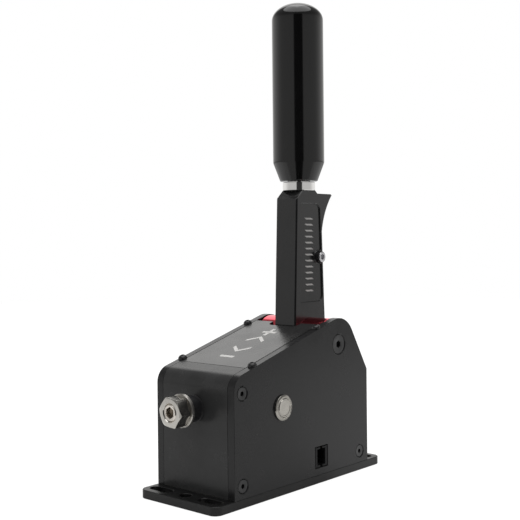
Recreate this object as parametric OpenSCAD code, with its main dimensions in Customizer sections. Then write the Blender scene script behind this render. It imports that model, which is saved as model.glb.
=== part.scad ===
// Gear shifter for a driving simulator: a sprung lever rocking in a boxed base

/* [Base plate] */
// Width of the base plate and of the housing on it
base_w = 74; // [70:1:90]
// Length of the base plate
base_l = 188; // [182:1:220]
// Length of the ledge at each end of the base plate
ledge_l = 18; // [16:0.5:22]
// Thickness of the base plate
base_t = 6; // [5:0.5:10]
// Corner radius of the base plate
base_corner_r = 6; // [2:0.5:8]
// Width of the four mounting slots and bore of the two middle holes
slot_w = 8.5; // [5:0.5:9]
// Overall length of a mounting slot
slot_l = 20; // [12:0.5:20]
// Distance between the slot centres across the base
slot_pitch = 47; // [40:0.5:48]

/* [Housing] */
// Thickness of a side plate
plate_t = 6; // [5:0.5:8]
// Drop from the pivot to the front corner
front_drop = 12.7; // [9:0.1:17]
// Drop from the pivot to the rear corner
rear_drop = 22; // [18:0.5:26]
// Radius of the side plates' front corner
bend_r = 11.5; // [8:0.5:13]
// Radius of the bend at the front cover's top
cover_bend_r = 11.5; // [6:0.5:13]
// Radius of the side plate over the pivot
crown_r = 19.5; // [19.5:0.1:21]
// Thickness of the front and rear covers
cover_t = 2.5; // [1.5:0.1:3]
// Thickness of the sloping top plate
top_t = 3; // [2:0.1:3.4]
// Distance from the front face to the seam behind the front cover
seam_back = 18; // [16:0.5:24]
// Thickness of the front and rear bulkheads
bulkhead_t = 14; // [12:0.5:16]
// Gap along a seam between two panels
panel_gap = 0.15; // [0.1:0.05:0.3]

/* [Housing fasteners] */
// Thread of the countersunk screws in the sides
side_screw_d = 5; // [4:0.5:5.5]
// Depth of the side screws' heads below the plates
side_screw_sink = 0.3; // [0.2:0.1:1.2]
// Length of a side screw
side_screw_l = 22; // [16:1:26]
// Height of the low side screws above the base plate
low_screw_h = 8.6; // [7:0.2:10]
// Distance of the front side screws from the front face
front_screw_back = 8.3; // [7.5:0.1:10.5]
// Distance of the rear side screws from the rear face
rear_screw_back = 10.5; // [8:0.1:11.5]
// Drop from the front corner to the high side screws
high_screw_drop = 10.4; // [9.6:0.2:14]
// Thread of the button head screws in the top edges
top_screw_d = 3; // [2.5:0.5:3]
// Diameter of the top screws' heads
top_head_d = 6.6; // [5:0.2:8]
// Height of the top screws' heads
top_head_h = 2.5; // [1.4:0.1:2.8]
// Distance of the front pair of top screws from the front face
top_screw_front = 22; // [20.5:0.5:30]
// Distance of the rear pair of top screws in front of the pivot
top_screw_ahead = 23.4; // [22:0.1:36]
// Thread of the countersunk screws through the base
base_screw_d = 4; // [3:0.5:5]

/* [Pivot] */
// Distance of the pivot from the rear face
pivot_back = 36; // [35:0.5:38]
// Height of the pivot above the base plate
pivot_h = 93; // [91:0.5:96]
// Diameter of the pivot axle
axle_d = 16; // [12:0.5:17]
// Thread of the countersunk screws in the axle's ends
axle_screw_d = 8; // [6:1:8]
// Thickness of the thrust washers beside the side plates
thrust_t = 1; // [0.5:0.1:2]
// Wall of the bronze bushes on the axle
bush_wall = 2; // [1:0.1:2.2]
// Radius of the rocker cheeks
cheek_r = 19; // [18:0.1:19]
// Thread of the bolts that clamp the cheeks to the lever
cheek_bolt_d = 4; // [3:0.5:4]
// Swing of the lever to each side, in degrees
rock_deg = 7; // [4:0.5:8]

/* [Lever] */
// Width of the lever across the housing
bar_w = 20.5; // [18:0.5:24]
// Depth of the lever at its top
bar_top_l = 30.2; // [27:0.2:34]
// Depth of the lever at the pivot
bar_foot_l = 38.8; // [35:0.2:38.8]
// Height of the lever's top above the pivot
bar_h = 116.3; // [115:0.1:140]
// Width of the chamfers along the lever's four long edges
bar_edge = 1; // [0.5:0.1:1.8]
// Length of the slope at the lever's top, front and back
shoulder_l = 7.2; // [4:0.2:8]
// Height of that slope
shoulder_h = 6.8; // [3:0.2:8]
// Depth of the pockets in the lever's sides
pocket_d = 1; // [0.8:0.1:2.4]
// Rim left around a side pocket
pocket_rim = 2.6; // [2:0.1:4]
// Corner radius of a side pocket
pocket_r = 5; // [3:0.5:7]
// Height of a pocket's floor edge above the pivot
pocket_low = 30.8; // [28:0.2:40]
// Distance from a pocket's upper edge to the lever's top
pocket_high = 10; // [8:0.5:16]
// Diameter of the round end of the lever's tail
tail_d = 18; // [17:0.5:20]

/* [Knob] */
// Diameter of the knob
knob_d = 39.6; // [32:0.1:44]
// Diameter of the knob's underside
knob_foot_d = 28.6; // [26:0.2:31]
// Height of the cone under the knob
knob_cone_h = 14.6; // [8:0.1:18]
// Height of the knob from its underside to its tip
knob_l = 137.5; // [90:0.5:150]
// Height of the knob's rounded top
knob_dome_h = 13.3; // [8:0.1:18]
// Diameter of the collar under the knob
collar_d = 25; // [22:0.1:26]
// Height of the collar
collar_h = 6.4; // [4:0.1:8]
// Height of the narrow neck between collar and knob
neck_h = 0.7; // [0.5:0.1:2]
// Diameter of that neck
neck_d = 17; // [14:0.5:22]
// Thread of the stud that joins knob and lever
stud_d = 8; // [8:0.5:10]

/* [Trigger] */
// Width of the trigger
trigger_w = 10; // [8:0.5:10]
// Height of the trigger's pivot above the lever's pivot
trigger_h = 65; // [62:0.5:66]
// Height from the trigger's pivot to its top
trigger_up = 49.6; // [46:0.2:50]
// Length of the trigger below its pivot
trigger_down = 38; // [30:1:39]
// Reach of the trigger's tip behind its pivot
trigger_reach = 25; // [18:0.2:26]
// Pull of the trigger, in degrees
pull_deg = 5.5; // [3:0.5:5.5]
// Thread of the trigger's pivot screw
trigger_screw_d = 5; // [4:0.5:5]

/* [Spring adjuster] */
// Distance from the lever's pivot down to the adjuster's axis
tail_arm = 35.5; // [34:0.5:37]
// Thread of the adjuster screw
screw_d = 12; // [11:0.5:13]
// Length of the adjuster screw
screw_l = 50; // [48:1:56]
// Pitch of the adjuster's thread
thread_pitch = 1.75; // [1:0.25:2]
// Turns of the adjuster screw from slack to full preload
preload_turns = 4; // [2:1:4]
// Width across the flats of the lock nut
nut_af = 19; // [18:0.5:22]
// Thickness of the lock nut
nut_t = 10; // [7:0.5:12]
// Resting turn of the lock nut, in degrees
nut_rest = 7; // [0:1:60]
// Diameter of the lock washer
washer_d = 23; // [22:0.2:26]
// Thickness of the lock washer
washer_t = 2.5; // [1.5:0.1:3]
// Diameter of the bush that stands out of the front cover
bush_d = 18; // [17.5:0.5:22]
// Length of that bush in front of the cover
bush_l = 10.5; // [6:0.5:12]

/* [Springs] */
// Diameter of the guide rod
rod_d = 10; // [8:0.5:10]
// Mean diameter of the two centring springs
coil_d = 17; // [16.5:0.1:18]
// Wire of the front spring
front_wire_d = 2.8; // [2:0.1:3]
// Wire of the rear spring
rear_wire_d = 2; // [1.5:0.1:2.2]
// Turns of the front spring
front_turns = 9; // [7:1:11]
// Turns of the rear spring
rear_turns = 4; // [3:1:4]
// Diameter of the spring cups' flanges
cup_d = 23; // [20:0.5:23]
// Thickness of the spring cups' flanges
cup_t = 4; // [3:0.2:4]

/* [Push button] */
// Distance of the button from the front face
button_back = 49.5; // [44:0.5:56]
// Height of the button above the base plate
button_h = 55; // [40:0.5:56]
// Thread of the button's body
button_d = 16; // [14:0.5:17]
// Diameter of the button's bezel
bezel_d = 18; // [17.5:0.5:20]
// Height of the bezel in front of the side plate
bezel_t = 2; // [1.5:0.1:3]
// Diameter of the button's cap
cap_d = 13; // [11:0.5:13]
// Length of the button's body behind the bezel
button_l = 19; // [17:0.5:21]
// Travel of the button's cap
button_travel = 1.5; // [0.8:0.1:1.6]

/* [Jack] */
// Distance of the jack's middle from the front face
jack_back = 93.4; // [88:0.2:96]
// Height of the jack's middle above the base plate
jack_h = 12.9; // [11:0.1:16]
// Width of the jack along the housing
jack_w = 14; // [13:0.2:15]
// Height of the jack
jack_z = 14.6; // [14.4:0.2:17]
// Depth of the jack into the housing
jack_l = 21; // [18:0.5:24]
// Gap between the jack and its window
jack_gap = 0.6; // [0.2:0.1:0.8]
// Depth of the jack's face below the plate
jack_sink = 0.2; // [0:0.1:0.6]
// Width of the plug opening
jack_slot_w = 9.2; // [8:0.1:9.4]
// Height of the plug opening
jack_slot_z = 11.7; // [11:0.1:12]
// Depth of the plug opening
jack_slot_l = 14; // [10:0.5:15]

/* [Circuit board] */
// Length of the circuit board across the housing
board_l = 54; // [48:1:56]
// Thickness of a circuit board
board_t = 1.6; // [1:0.2:2]
// Thickness of the bracket behind the board
bracket_t = 2; // [1.5:0.1:3]
// Gap between bracket and board
standoff_l = 3; // [2:0.2:5]
// Gap between the circuit board and the spring cups over it
board_gap = 4; // [2:0.5:8]
// Diameter of a lead
lead_d = 1.8; // [1.2:0.1:2.4]

/* [Clearances] */
// Radial clearance of a running fit
run_fit = 0.05; // [0.02:0.01:0.1]
// Clearance of parts that pass without touching
slack = 0.3; // [0.2:0.05:0.4]

/* [Hidden] */
$fn = 64;

// Housing box
front_h = pivot_h - front_drop;
rear_h = pivot_h - rear_drop;
high_screw_h = front_h - high_screw_drop;
house_l = base_l - 2 * ledge_l;
half_w = base_w / 2;
inner_x = half_w - plate_t;
front_y = -house_l / 2;
rear_y = house_l / 2;
front_z = base_t + front_h;
rear_z = base_t + rear_h;
pivot = [rear_y - pivot_back, base_t + pivot_h];
to_front = pivot - [front_y, front_z];
to_rear = pivot - [rear_y, rear_z];
slope_a = atan2(to_front[1], to_front[0]) + asin(crown_r / norm(to_front));
rear_a = atan2(to_rear[1], to_rear[0]) - asin(crown_r / norm(to_rear));
panel_x = inner_x - panel_gap;
front_wall_y = front_y + cover_t;
rear_wall_y = rear_y - cover_t;
bulkhead_front_y = front_wall_y + bulkhead_t;
bulkhead_rear_y = rear_wall_y - bulkhead_t;
bulkhead_screw_y = rear_wall_y - bulkhead_t / 2;
front_screw_y = front_y + front_screw_back;
rear_screw_y = rear_y - rear_screw_back;
front_block_h = front_h - 4;
rear_block_h = rear_h - 1;
slot_y = (base_l + house_l) / 4;
// The base screws stand between the side screws' tips
base_screw_x = half_w - side_screw_l - base_screw_d - 1;
// The top plate's tongues beside the lever end short of the turning cheeks
tongue_gap = 1;
seam_y = front_y + seam_back;
top_screw_l = 10;
top_screw_rear = pivot[0] - top_screw_ahead - front_y;
lug_r = top_screw_d / 2 + 1.2;
top_head_r = top_head_d / 2;
top_screw_x = half_w - top_head_r - 0.05;
// The rear cover ends short of the turning cheeks
rear_lip_gap = 2;

// Lever
bar_top_z = pivot[1] + bar_h;
bar_x = bar_w / 2;
axis_y = pivot[0];
tail_z = pivot[1] - tail_arm;
tail_r = tail_d / 2;
tail_bore_r = rod_d / 2 + 1.6;
// The tail's neck clears the cups' flanges when the lever is tilted
neck_r = tail_r - cup_d / 2 * sin(rock_deg) - slack;
neck_a = acos(neck_r / tail_r);
axle_grip = 18;
cheek_out = inner_x - thrust_t - run_fit;
bush_out_r = axle_d / 2 + run_fit + bush_wall;
cheek_bolt_r = (bush_out_r + cheek_r) / 2 - 0.6;
cheek_bolt_angles = [30, 150, 270];
bolt_head_r = cheek_bolt_d * 0.875;
// The bolts' heads and nuts lie sunk in the cheeks' outer faces
bolt_seat_x = cheek_out - cheek_bolt_d - 1;
thrust_r = cheek_r - 4;
boss_r = min(bar_foot_l / 2 - 0.5, cheek_r - 0.7);
slot_x = trigger_w / 2 + slack;
// The stud's bore keeps a wall in front of the trigger's slot
stud_wall = 1.8;
slot_floor_y = axis_y + stud_d / 2 + stud_wall;
stud_deep = 25;
trigger_pivot = [slot_floor_y + 5.2, pivot[1] + trigger_h];
trigger_hub_r = 4.9;
trigger_waist = 11;
trigger_foot = 8.8;
trigger_top_z = trigger_pivot[1] + trigger_up;
trigger_back_y = slot_floor_y + trigger_up * sin(pull_deg) + slack;
// The trigger's screw lies sunk in a boss with a thin rim
head_r = trigger_screw_d * 0.8;
head_sink = 1.2;
head_x = bar_x - head_sink;
head_bore_r = head_r + 0.5;
trigger_boss_r = head_bore_r + 0.7;
spring_bore_up = 32;
spring_bore_r = 2.6;
spring_bore_l = 6;
switch_up = 14;
switch_size = [5.8, 6.5, 12.8];
collar_z = bar_top_z + collar_h;
knob_z = collar_z + neck_h;

// Stop pins: the lever's tail meets their rubber sleeves just past its swing
stop_r = 4;
stop_core_r = 2.5;
stop_drop = cheek_r - 1;
stop_off = (tail_r + stop_r + slack + stop_drop * sin(rock_deg)) / cos(rock_deg);

// Adjuster stack in front of the cover
bush_front_y = front_y - bush_l;
washer_front_y = bush_front_y - washer_t;
nut_front_y = washer_front_y - nut_t;
spigot_r = screw_d / 2 + 2;
seat_y = nut_front_y + screw_l;
seat_t = 5;
seat_spigot_l = 10;
preload_travel = thread_pitch * preload_turns;
rod_grip = 5;
rod_front_y = seat_y + seat_t + seat_spigot_l - rod_grip;
seat_bore_y = rod_front_y - preload_travel - 1;
front_cup_y = axis_y - tail_r - run_fit;
rear_cup_y = axis_y + tail_r + run_fit;
front_spigot_r = (coil_d - front_wire_d) / 2 - slack;
rear_spigot_r = (coil_d - rear_wire_d) / 2 - slack;
front_spigot_l = 6;
rear_spigot_l = 4;
rear_pocket_y = rear_wall_y - 4;
rear_pocket_r = (coil_d + rear_wire_d) / 2 + 1.5;
coil_gap = 0.5;

// Push button
button_y = front_y + button_back;
button_z = base_t + button_h;
button_floor_x = half_w - 4.5;
cap_proud = 0.4;
cap_rear_x = button_floor_x + button_travel + slack;
button_nut_t = 3;
button_spring_r = 2.4;
button_well_x = button_floor_x - 5;
button_rear_x = half_w - button_l;
pin_l = 5;
pin_pitch = 5;

// Jack and boards
jack_y = front_y + jack_back;
jack_mid_z = base_t + jack_h;
jack_face_x = half_w - jack_sink;
board_face_y = jack_y - jack_w / 2;
board_back_y = board_face_y - board_t;
board_z0 = base_t + 2;
board_h = tail_z - cup_d / 2 - board_gap - board_z0;
board_x0 = inner_x - slack - board_l;
bracket_y = board_back_y - standoff_l;
bracket_foot_l = 12;
bracket_l = board_l - 12;
bracket_screw_x = [board_x0 + 12, board_x0 + 36];
board_hole_in = 4;
board_hole_far = board_l - 22;
board_holes = [for (x = [board_x0 + board_hole_in, board_x0 + board_hole_far])
    for (z = [board_z0 + board_hole_in, board_z0 + board_h - board_hole_in]) [x, z]];
magnet_r = 3;
magnet_t = 2.5;
sensor_x = bar_x + 4;
sensor_size = [board_t, 19, 13];
sensor_gap = 0.5;
sensor_z = pivot[1] - cheek_r - sensor_size[2] / 2 - sensor_gap;
sensor_holes = [for (s = [-1, 1]) [axis_y + 6.5 * s, sensor_z]];
chip_t = 1.2;
chip_w = board_h / 4;
plug_size = [8, 5, 6];
plug_x = board_x0 + board_l * 0.815;
plug_top_z = board_z0 + board_h * 0.9;
lead_r = lead_d / 2;
board_screw_r = 1.5;
// The push button's lead runs from a terminal over the board's edge into the plug's top
button_from = [button_rear_x - pin_l, button_y + pin_pitch, button_z];
button_to = [plug_x, board_face_y + plug_size[1] / 2, plug_top_z];
button_over = [plug_x, board_face_y - 2 * lead_r, board_z0 + board_h + 3 * lead_r];
button_route = concat([button_from, button_from + [-lead_r, 0, 0]],
    [for (t = [0:0.2:1]) curve_point(button_from + lead_r * [-2, 0.2, -1.6],
        [button_from[0] + 5.5 * lead_r, button_from[1] + 4.5 * lead_r, button_over[2] - lead_r],
        button_over, t)],
    [[plug_x, button_to[1] - 0.4 * lead_r, button_over[2] - 2.6 * lead_r],
        button_to + [0, 0, 1.7 * lead_r], button_to]);
// The sensor's lead runs from its board into the plug's side
sensor_from = [sensor_x + board_t, axis_y, sensor_z - 3.3 * lead_r];
sensor_to = [plug_x - 1.9 * lead_r, board_face_y + plug_size[1], plug_top_z - plug_size[2] / 2];
sensor_route = concat([sensor_from, sensor_from + [lead_r, 0, 0]],
    [for (t = [0:0.2:1]) curve_point(sensor_from + lead_r * [2.2, -0.2, -1.7],
        [sensor_to[0], sensor_from[1] - 2.2 * lead_r, sensor_to[2] + 4.4 * lead_r],
        sensor_to + lead_r * [0, 3.3, 0.4], t)],
    [sensor_to + [0, 1.7 * lead_r, 0], sensor_to]);

// Height of the sloping top at y, set in by a wall
function slope_z(y, inset = 0) = front_z + (y - front_y) * tan(slope_a) - inset / cos(slope_a);

// Height of the rear slope at y, set in by a wall
function rear_slope_z(y, inset = 0) = rear_z + (y - rear_y) * tan(rear_a) + inset / cos(rear_a);

// Half depth of the lever at a height above the pivot
function bar_half(h) = (bar_foot_l + (bar_top_l - bar_foot_l) * h / bar_h) / 2;

// Corner b of a path a, b, c rounded to a radius, as points
function corner_arc(a, b, c, r, n = 8) =
    let (u = (a - b) / norm(a - b), w = (c - b) / norm(c - b), half = acos(u * w) / 2,
        centre = b + (u + w) / norm(u + w) * r / sin(half),
        p = b + u * r / tan(half) - centre, q = b + w * r / tan(half) - centre,
        from = atan2(p[1], p[0]), turn = ((atan2(q[1], q[0]) - from + 540) % 360) - 180)
    [for (i = [0:n]) centre + r * [cos(from + turn * i / n), sin(from + turn * i / n)]];

// Points along an arc
function arc_points(centre, r, from, to, n) =
    [for (i = [0:n]) centre + r * [cos(from + (to - from) * i / n), sin(from + (to - from) * i / n)]];

// A closed outline with every corner rounded alike
function round_outline(p, r) =
    let (n = len(p))
    [for (i = [0:n - 1]) each corner_arc(p[(i + n - 1) % n], p[i], p[(i + 1) % n], r)];

// A point on a curve bent by one control point
function curve_point(a, b, c, t) = a * (1 - t) * (1 - t) + b * 2 * t * (1 - t) + c * t * t;

// Extrudes an outline given in y and z from one x to another
module across(x0, x1) {
    translate([x0, 0, 0]) rotate([90, 0, 90]) linear_extrude(x1 - x0) children();
}

// Round bar or bore along x
module rod_x(x0, x1, y, z, r) {
    translate([x0, y, z]) rotate([0, 90, 0]) cylinder(h = x1 - x0, r = r);
}

// Round bar or bore along y
module rod_y(y0, y1, x, z, r) {
    translate([x, y0, z]) rotate([-90, 0, 0]) cylinder(h = y1 - y0, r = r);
}

// Puts children on the sloping top at x and y, with z square to the slope
module on_slope(x, y) {
    translate([x, y, slope_z(y)]) rotate([slope_a, 0, 0]) children();
}

// Both sides of the housing
module both_sides() {
    for (side = [0, 1]) mirror([side, 0, 0]) children();
}

// Flat plate outline with round corners
module rounded_plate(w, l, r) {
    square([w - 2 * r, l], center = true);
    square([w, l - 2 * r], center = true);
    for (x = [-1, 1], y = [-1, 1]) translate([x * (w / 2 - r), y * (l / 2 - r)]) circle(r);
}

// Slot outline with round ends, along x
module slot_outline(l, w) {
    square([l - w, w], center = true);
    for (s = [-1, 1]) translate([s * (l - w) / 2, 0]) circle(d = w);
}

// Countersunk screw along z with its flat head at the top, z = 0
module countersunk_screw(d, l, key) {
    difference() {
        union() {
            translate([0, 0, -d / 2]) cylinder(h = d / 2, r1 = d / 2, r2 = d);
            translate([0, 0, -l]) cylinder(h = l - d / 2, d = d);
        }
        translate([0, 0, -d * 0.45]) cylinder(h = d, d = key / cos(30), $fn = 6);
    }
}

// Seat for a countersunk screw along z, with the surface at z = 0
module countersunk_hole(d, l, sink = 0) {
    deep = d / 2 + sink + run_fit;
    translate([0, 0, -deep]) cylinder(h = deep, r1 = d / 2, r2 = d + sink + run_fit);
    cylinder(h = 1, r = d + sink + run_fit);
    translate([0, 0, -l]) cylinder(h = l, r = d / 2 + run_fit);
}

// Hexagonal nut along z from z = 0, with turned corners and a bore
module hex_nut(af, t, bore_r) {
    difference() {
        intersection() {
            cylinder(h = t, d = af / cos(30), $fn = 6);
            rotate_extrude() polygon([[0, 0], [af * 0.5, 0], [af * 0.578, af * 0.045],
                [af * 0.578, t - af * 0.045], [af * 0.5, t], [0, t]]);
        }
        translate([0, 0, -1]) cylinder(h = t + 2, r = bore_r);
    }
}

// Tube swept through rings of points
module ring_tube(rings) {
    n = len(rings);
    s = len(rings[0]);
    points = [for (r = rings) each r];
    sides = [for (i = [0:n - 2], j = [0:s - 1])
        let (a = i * s + j, b = i * s + (j + 1) % s) each [[a, b + s, b], [a, a + s, b + s]]];
    caps = [for (j = [1:s - 2]) each [[0, j, j + 1], [(n - 1) * s, (n - 1) * s + j + 1, (n - 1) * s + j]]];
    polyhedron(points, concat(sides, caps));
}

// Compression spring along z from z = 0 to l, with a close turn at each end
module coil_spring(l, mean_d, wire_d, turns) {
    rings_a_turn = 12;
    close = wire_d + coil_gap;
    open = (l - wire_d - 2 * close) / (turns - 2);
    last = turns * rings_a_turn;
    ring_tube([for (i = [0:last])
        let (t = i / rings_a_turn, a = -360 * t,
            z = wire_d / 2 + (t < 1 ? close * t
                : t < turns - 1 ? close + open * (t - 1)
                : close + open * (turns - 2) + close * (t - turns + 1)))
        [for (k = [0:5]) let (b = 60 * k + 30, r = mean_d / 2 + wire_d / 2 * cos(b))
            [r * cos(a), r * sin(a), z + wire_d / 2 * sin(b)]]]);
}

// Wire through a list of points
module lead(path, r) {
    n = len(path);
    ring_tube([for (i = [0:n - 1])
        let (t = path[min(i + 1, n - 1)] - path[max(i - 1, 0)], d = t / norm(t),
            u0 = cross(d, [0.31, 0.95, 0]), u = u0 / norm(u0), w = cross(d, u))
        [for (k = [0:7]) path[i] + r * (u * cos(45 * k) + w * sin(45 * k))]]);
}

// Outline of the housing in y and z, set in by a wall
module house_outline(inset = 0, bend = bend_r) {
    front_in = front_y + inset;
    rear_in = rear_y - inset;
    foot = [front_in, base_t];
    corner = [front_in, slope_z(front_in, inset)];
    crown_start = pivot + (crown_r - inset) * [-sin(slope_a), cos(slope_a)];
    polygon(concat([foot], corner_arc(foot, corner, crown_start, bend - inset, 12),
        arc_points(pivot, crown_r - inset, slope_a + 90, rear_a - 90, 24),
        [[rear_in, rear_slope_z(rear_in, inset)], [rear_in, base_t]]));
}

// Sheet of the housing's outline
module house_skin(t, bend = bend_r) {
    difference() {
        house_outline(0, bend);
        house_outline(t, bend);
    }
}

// Places of the four top screws on the slope
module each_top_screw() {
    for (x = [-1, 1], back = [top_screw_front, top_screw_rear])
        on_slope(x * top_screw_x, front_y + back) children();
}

// Tongue under a top screw's head, from the top plate's edge into the side plate
module top_lug(r) {
    for (side = [0, 1], back = [top_screw_front, top_screw_rear])
        mirror([side, 0, 0]) on_slope(0, front_y + back) translate([0, 0, -top_t]) {
            translate([top_screw_x, 0, 0]) cylinder(h = top_t, r = r);
            translate([inner_x - 2, -r, 0]) cube([top_screw_x - inner_x + 2, 2 * r, top_t]);
        }
}

// Places of the side screws on the right, along x
module each_side_screw() {
    for (p = [[front_screw_y, low_screw_h], [front_screw_y, high_screw_h], [rear_screw_y, low_screw_h]])
        translate([half_w, p[0], base_t + p[1]]) rotate([0, 90, 0]) children();
}

// Places of the screws up through the base, head down
base_screw_places = [
    for (x = [-base_screw_x, base_screw_x], y = [-1, 1]) [x, y * bulkhead_screw_y, bulkhead_t],
    for (x = bracket_screw_x) [x, bracket_y - bracket_foot_l / 2, bracket_t]];
module each_base_screw() {
    for (p = base_screw_places) translate([p[0], p[1], 0]) rotate([180, 0, 0]) children();
}

// Places of the bolts through the cheeks and the lever
module each_cheek_bolt() {
    for (a = cheek_bolt_angles)
        translate([0, pivot[0] + cheek_bolt_r * cos(a), pivot[1] + cheek_bolt_r * sin(a)]) children();
}

// Stop pins on both sides of the tail
module each_stop() {
    for (s = [-1, 1]) translate([0, axis_y + s * stop_off, pivot[1] - stop_drop]) children();
}

module base_plate() {
    color("#232427") difference() {
        linear_extrude(base_t) difference() {
            rounded_plate(base_w, base_l, base_corner_r);
            for (y = [-1, 1]) {
                for (x = [-1, 1]) translate([x * slot_pitch / 2, y * slot_y]) slot_outline(slot_l, slot_w);
                translate([0, y * slot_y]) circle(d = slot_w);
            }
        }
        each_base_screw() countersunk_hole(base_screw_d, base_t + 1);
    }
}

// Side plate on the right, before its own openings
module side_plate_blank() {
    difference() {
        across(inner_x, half_w) house_outline();
        each_side_screw() countersunk_hole(side_screw_d, plate_t + 1, side_screw_sink);
        translate([half_w, pivot[0], pivot[1]]) rotate([0, 90, 0])
            countersunk_hole(axle_screw_d, plate_t + 1);
        each_stop() rod_x(0, inner_x + plate_t / 2, 0, 0, stop_core_r + run_fit);
        top_lug(lug_r + panel_gap);
        each_top_screw() translate([0, 0, -top_screw_l - 2])
            cylinder(h = top_screw_l + 2, r = top_screw_d / 2 + run_fit);
    }
}

module left_side_plate() {
    color("#26272a") mirror([1, 0, 0]) side_plate_blank();
}

module right_side_plate() {
    color("#26272a") difference() {
        side_plate_blank();
        rod_x(inner_x - 1, half_w + 1, button_y, button_z, button_d / 2 + run_fit);
        translate([inner_x - 1, jack_y - jack_w / 2 - jack_gap, jack_mid_z - jack_z / 2 - jack_gap])
            cube([plate_t + 2, jack_w + 2 * jack_gap, jack_z + 2 * jack_gap]);
        for (p = sensor_holes) rod_x(inner_x - 1, inner_x + 3, p[0], p[1], board_screw_r + run_fit);
    }
}

// Bulkhead block between the side plates, with its threads
module bulkhead_block(y0, height) {
    difference() {
        across(-inner_x, inner_x) intersection() {
            house_outline(cover_t);
            translate([y0, base_t]) square([bulkhead_t, height]);
        }
        both_sides() each_side_screw()
            translate([0, 0, -side_screw_sink - side_screw_l - 1])
                cylinder(h = side_screw_l, r = side_screw_d / 2 + run_fit);
        each_base_screw() translate([0, 0, -base_t - bulkhead_t - 1])
            cylinder(h = base_t + bulkhead_t + 1, r = base_screw_d / 2 + run_fit);
    }
}

module front_bulkhead() {
    color("#3a3b3e") difference() {
        bulkhead_block(front_wall_y, front_block_h);
        rod_y(front_wall_y - 1, bulkhead_front_y + 1, 0, tail_z, spigot_r + run_fit);
    }
}

module rear_bulkhead() {
    color("#3a3b3e") difference() {
        bulkhead_block(bulkhead_rear_y, rear_block_h);
        rod_y(bulkhead_rear_y - 1, rear_pocket_y, 0, tail_z, rear_pocket_r);
        rod_y(bulkhead_rear_y - 1, rear_wall_y + 1, 0, tail_z, rod_d / 2 + run_fit);
    }
}

module front_cover() {
    color("#232427") difference() {
        across(-panel_x, panel_x) intersection() {
            house_skin(cover_t, cover_bend_r);
            translate([seam_y, slope_z(seam_y)]) rotate(slope_a)
                translate([-house_l, -2 * front_z]) square([house_l - panel_gap, 3 * front_z]);
        }
        rod_y(front_y - 1, front_wall_y + 1, 0, tail_z, spigot_r + run_fit);
    }
}

// The plate's tongues end where their lower edge would near the cheeks
tongue_y = pivot[0] - (cheek_r + tongue_gap) * cos(asin((crown_r - top_t) / (cheek_r + tongue_gap)) - slope_a)
    - top_t * sin(slope_a);
notch_gap = 3.5;
notch_r = 4;
notch_x = bar_x + notch_gap;
notch_y = pivot[0] - bar_half(0) - notch_gap;

module top_plate() {
    seam_s = seam_back / cos(slope_a) + panel_gap;
    tongue_s = (tongue_y - front_y) / cos(slope_a);
    notch_s = (notch_y - front_y) / cos(slope_a);
    color("#2b2c2f") union() {
        translate([0, front_y, front_z]) rotate([slope_a, 0, 0]) translate([0, 0, -top_t])
            linear_extrude(top_t) difference() {
                translate([-panel_x, seam_s]) square([2 * panel_x, tongue_s - seam_s]);
                translate([-notch_x, notch_s + notch_r]) square([2 * notch_x, tongue_s]);
                translate([-notch_x + notch_r, notch_s]) square([2 * (notch_x - notch_r), tongue_s]);
                for (s = [-1, 1]) translate([s * (notch_x - notch_r), notch_s + notch_r]) circle(notch_r);
            }
        difference() {
            top_lug(lug_r);
            each_top_screw() translate([0, 0, -top_t - 1])
                cylinder(h = top_t + 2, r = top_screw_d / 2 + run_fit);
        }
    }
}

// How far down the rear slope the rear cover's upper edge lies from the crown
rear_lip = sqrt(pow(max(cheek_r, bar_half(0)) + rear_lip_gap, 2) - pow(crown_r - cover_t, 2));

module rear_cover() {
    color("#232427") across(-panel_x, panel_x) intersection() {
        house_skin(cover_t);
        translate(pivot + crown_r * [sin(rear_a), -cos(rear_a)]) rotate(rear_a)
            translate([-2 * house_l, -house_l]) square([2 * house_l - rear_lip, 2 * house_l]);
        translate([pivot[0], 0]) square([house_l, pivot[1] + crown_r]);
    }
}

module side_screws() {
    color("#2d2e31") both_sides() each_side_screw() translate([0, 0, -side_screw_sink])
        countersunk_screw(side_screw_d, side_screw_l, side_screw_d * 0.6);
}

module top_screws() {
    color("#17181a") each_top_screw() difference() {
        union() {
            rotate_extrude() polygon(concat([[0, 0], [top_head_r, 0]],
                [for (a = [15:15:60]) [top_head_r * cos(a), top_head_h * sin(a) / sin(60)]],
                [[0, top_head_h]]));
            translate([0, 0, -top_screw_l]) cylinder(h = top_screw_l, d = top_screw_d);
        }
        translate([0, 0, top_head_h * 0.35])
            cylinder(h = top_head_h, d = top_head_d * 0.33 / cos(30), $fn = 6);
    }
}

module base_screws() {
    color("#2d2e31") for (p = base_screw_places) translate([p[0], p[1], 0]) rotate([180, 0, 0])
        countersunk_screw(base_screw_d, base_t + p[2] - slack, base_screw_d * 0.6);
}

module pivot_axle() {
    color("silver") difference() {
        rod_x(-inner_x, inner_x, pivot[0], pivot[1], axle_d / 2);
        both_sides()
            rod_x(inner_x - axle_grip - 2, inner_x + 1, pivot[0], pivot[1], axle_screw_d / 2 + run_fit);
    }
}

module axle_screws() {
    color("#2d2e31") both_sides() translate([half_w, pivot[0], pivot[1]]) rotate([0, 90, 0])
        countersunk_screw(axle_screw_d, plate_t + axle_grip, axle_screw_d * 0.625);
}

module thrust_washers() {
    color("#d8d4c4") both_sides() difference() {
        rod_x(inner_x - thrust_t, inner_x, pivot[0], pivot[1], thrust_r);
        rod_x(0, inner_x + 1, pivot[0], pivot[1], axle_d / 2 + run_fit);
    }
}

module stop_pins() {
    end_x = inner_x + plate_t / 2 - slack;
    color("silver") each_stop() rod_x(-end_x, end_x, 0, 0, stop_core_r);
}

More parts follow.
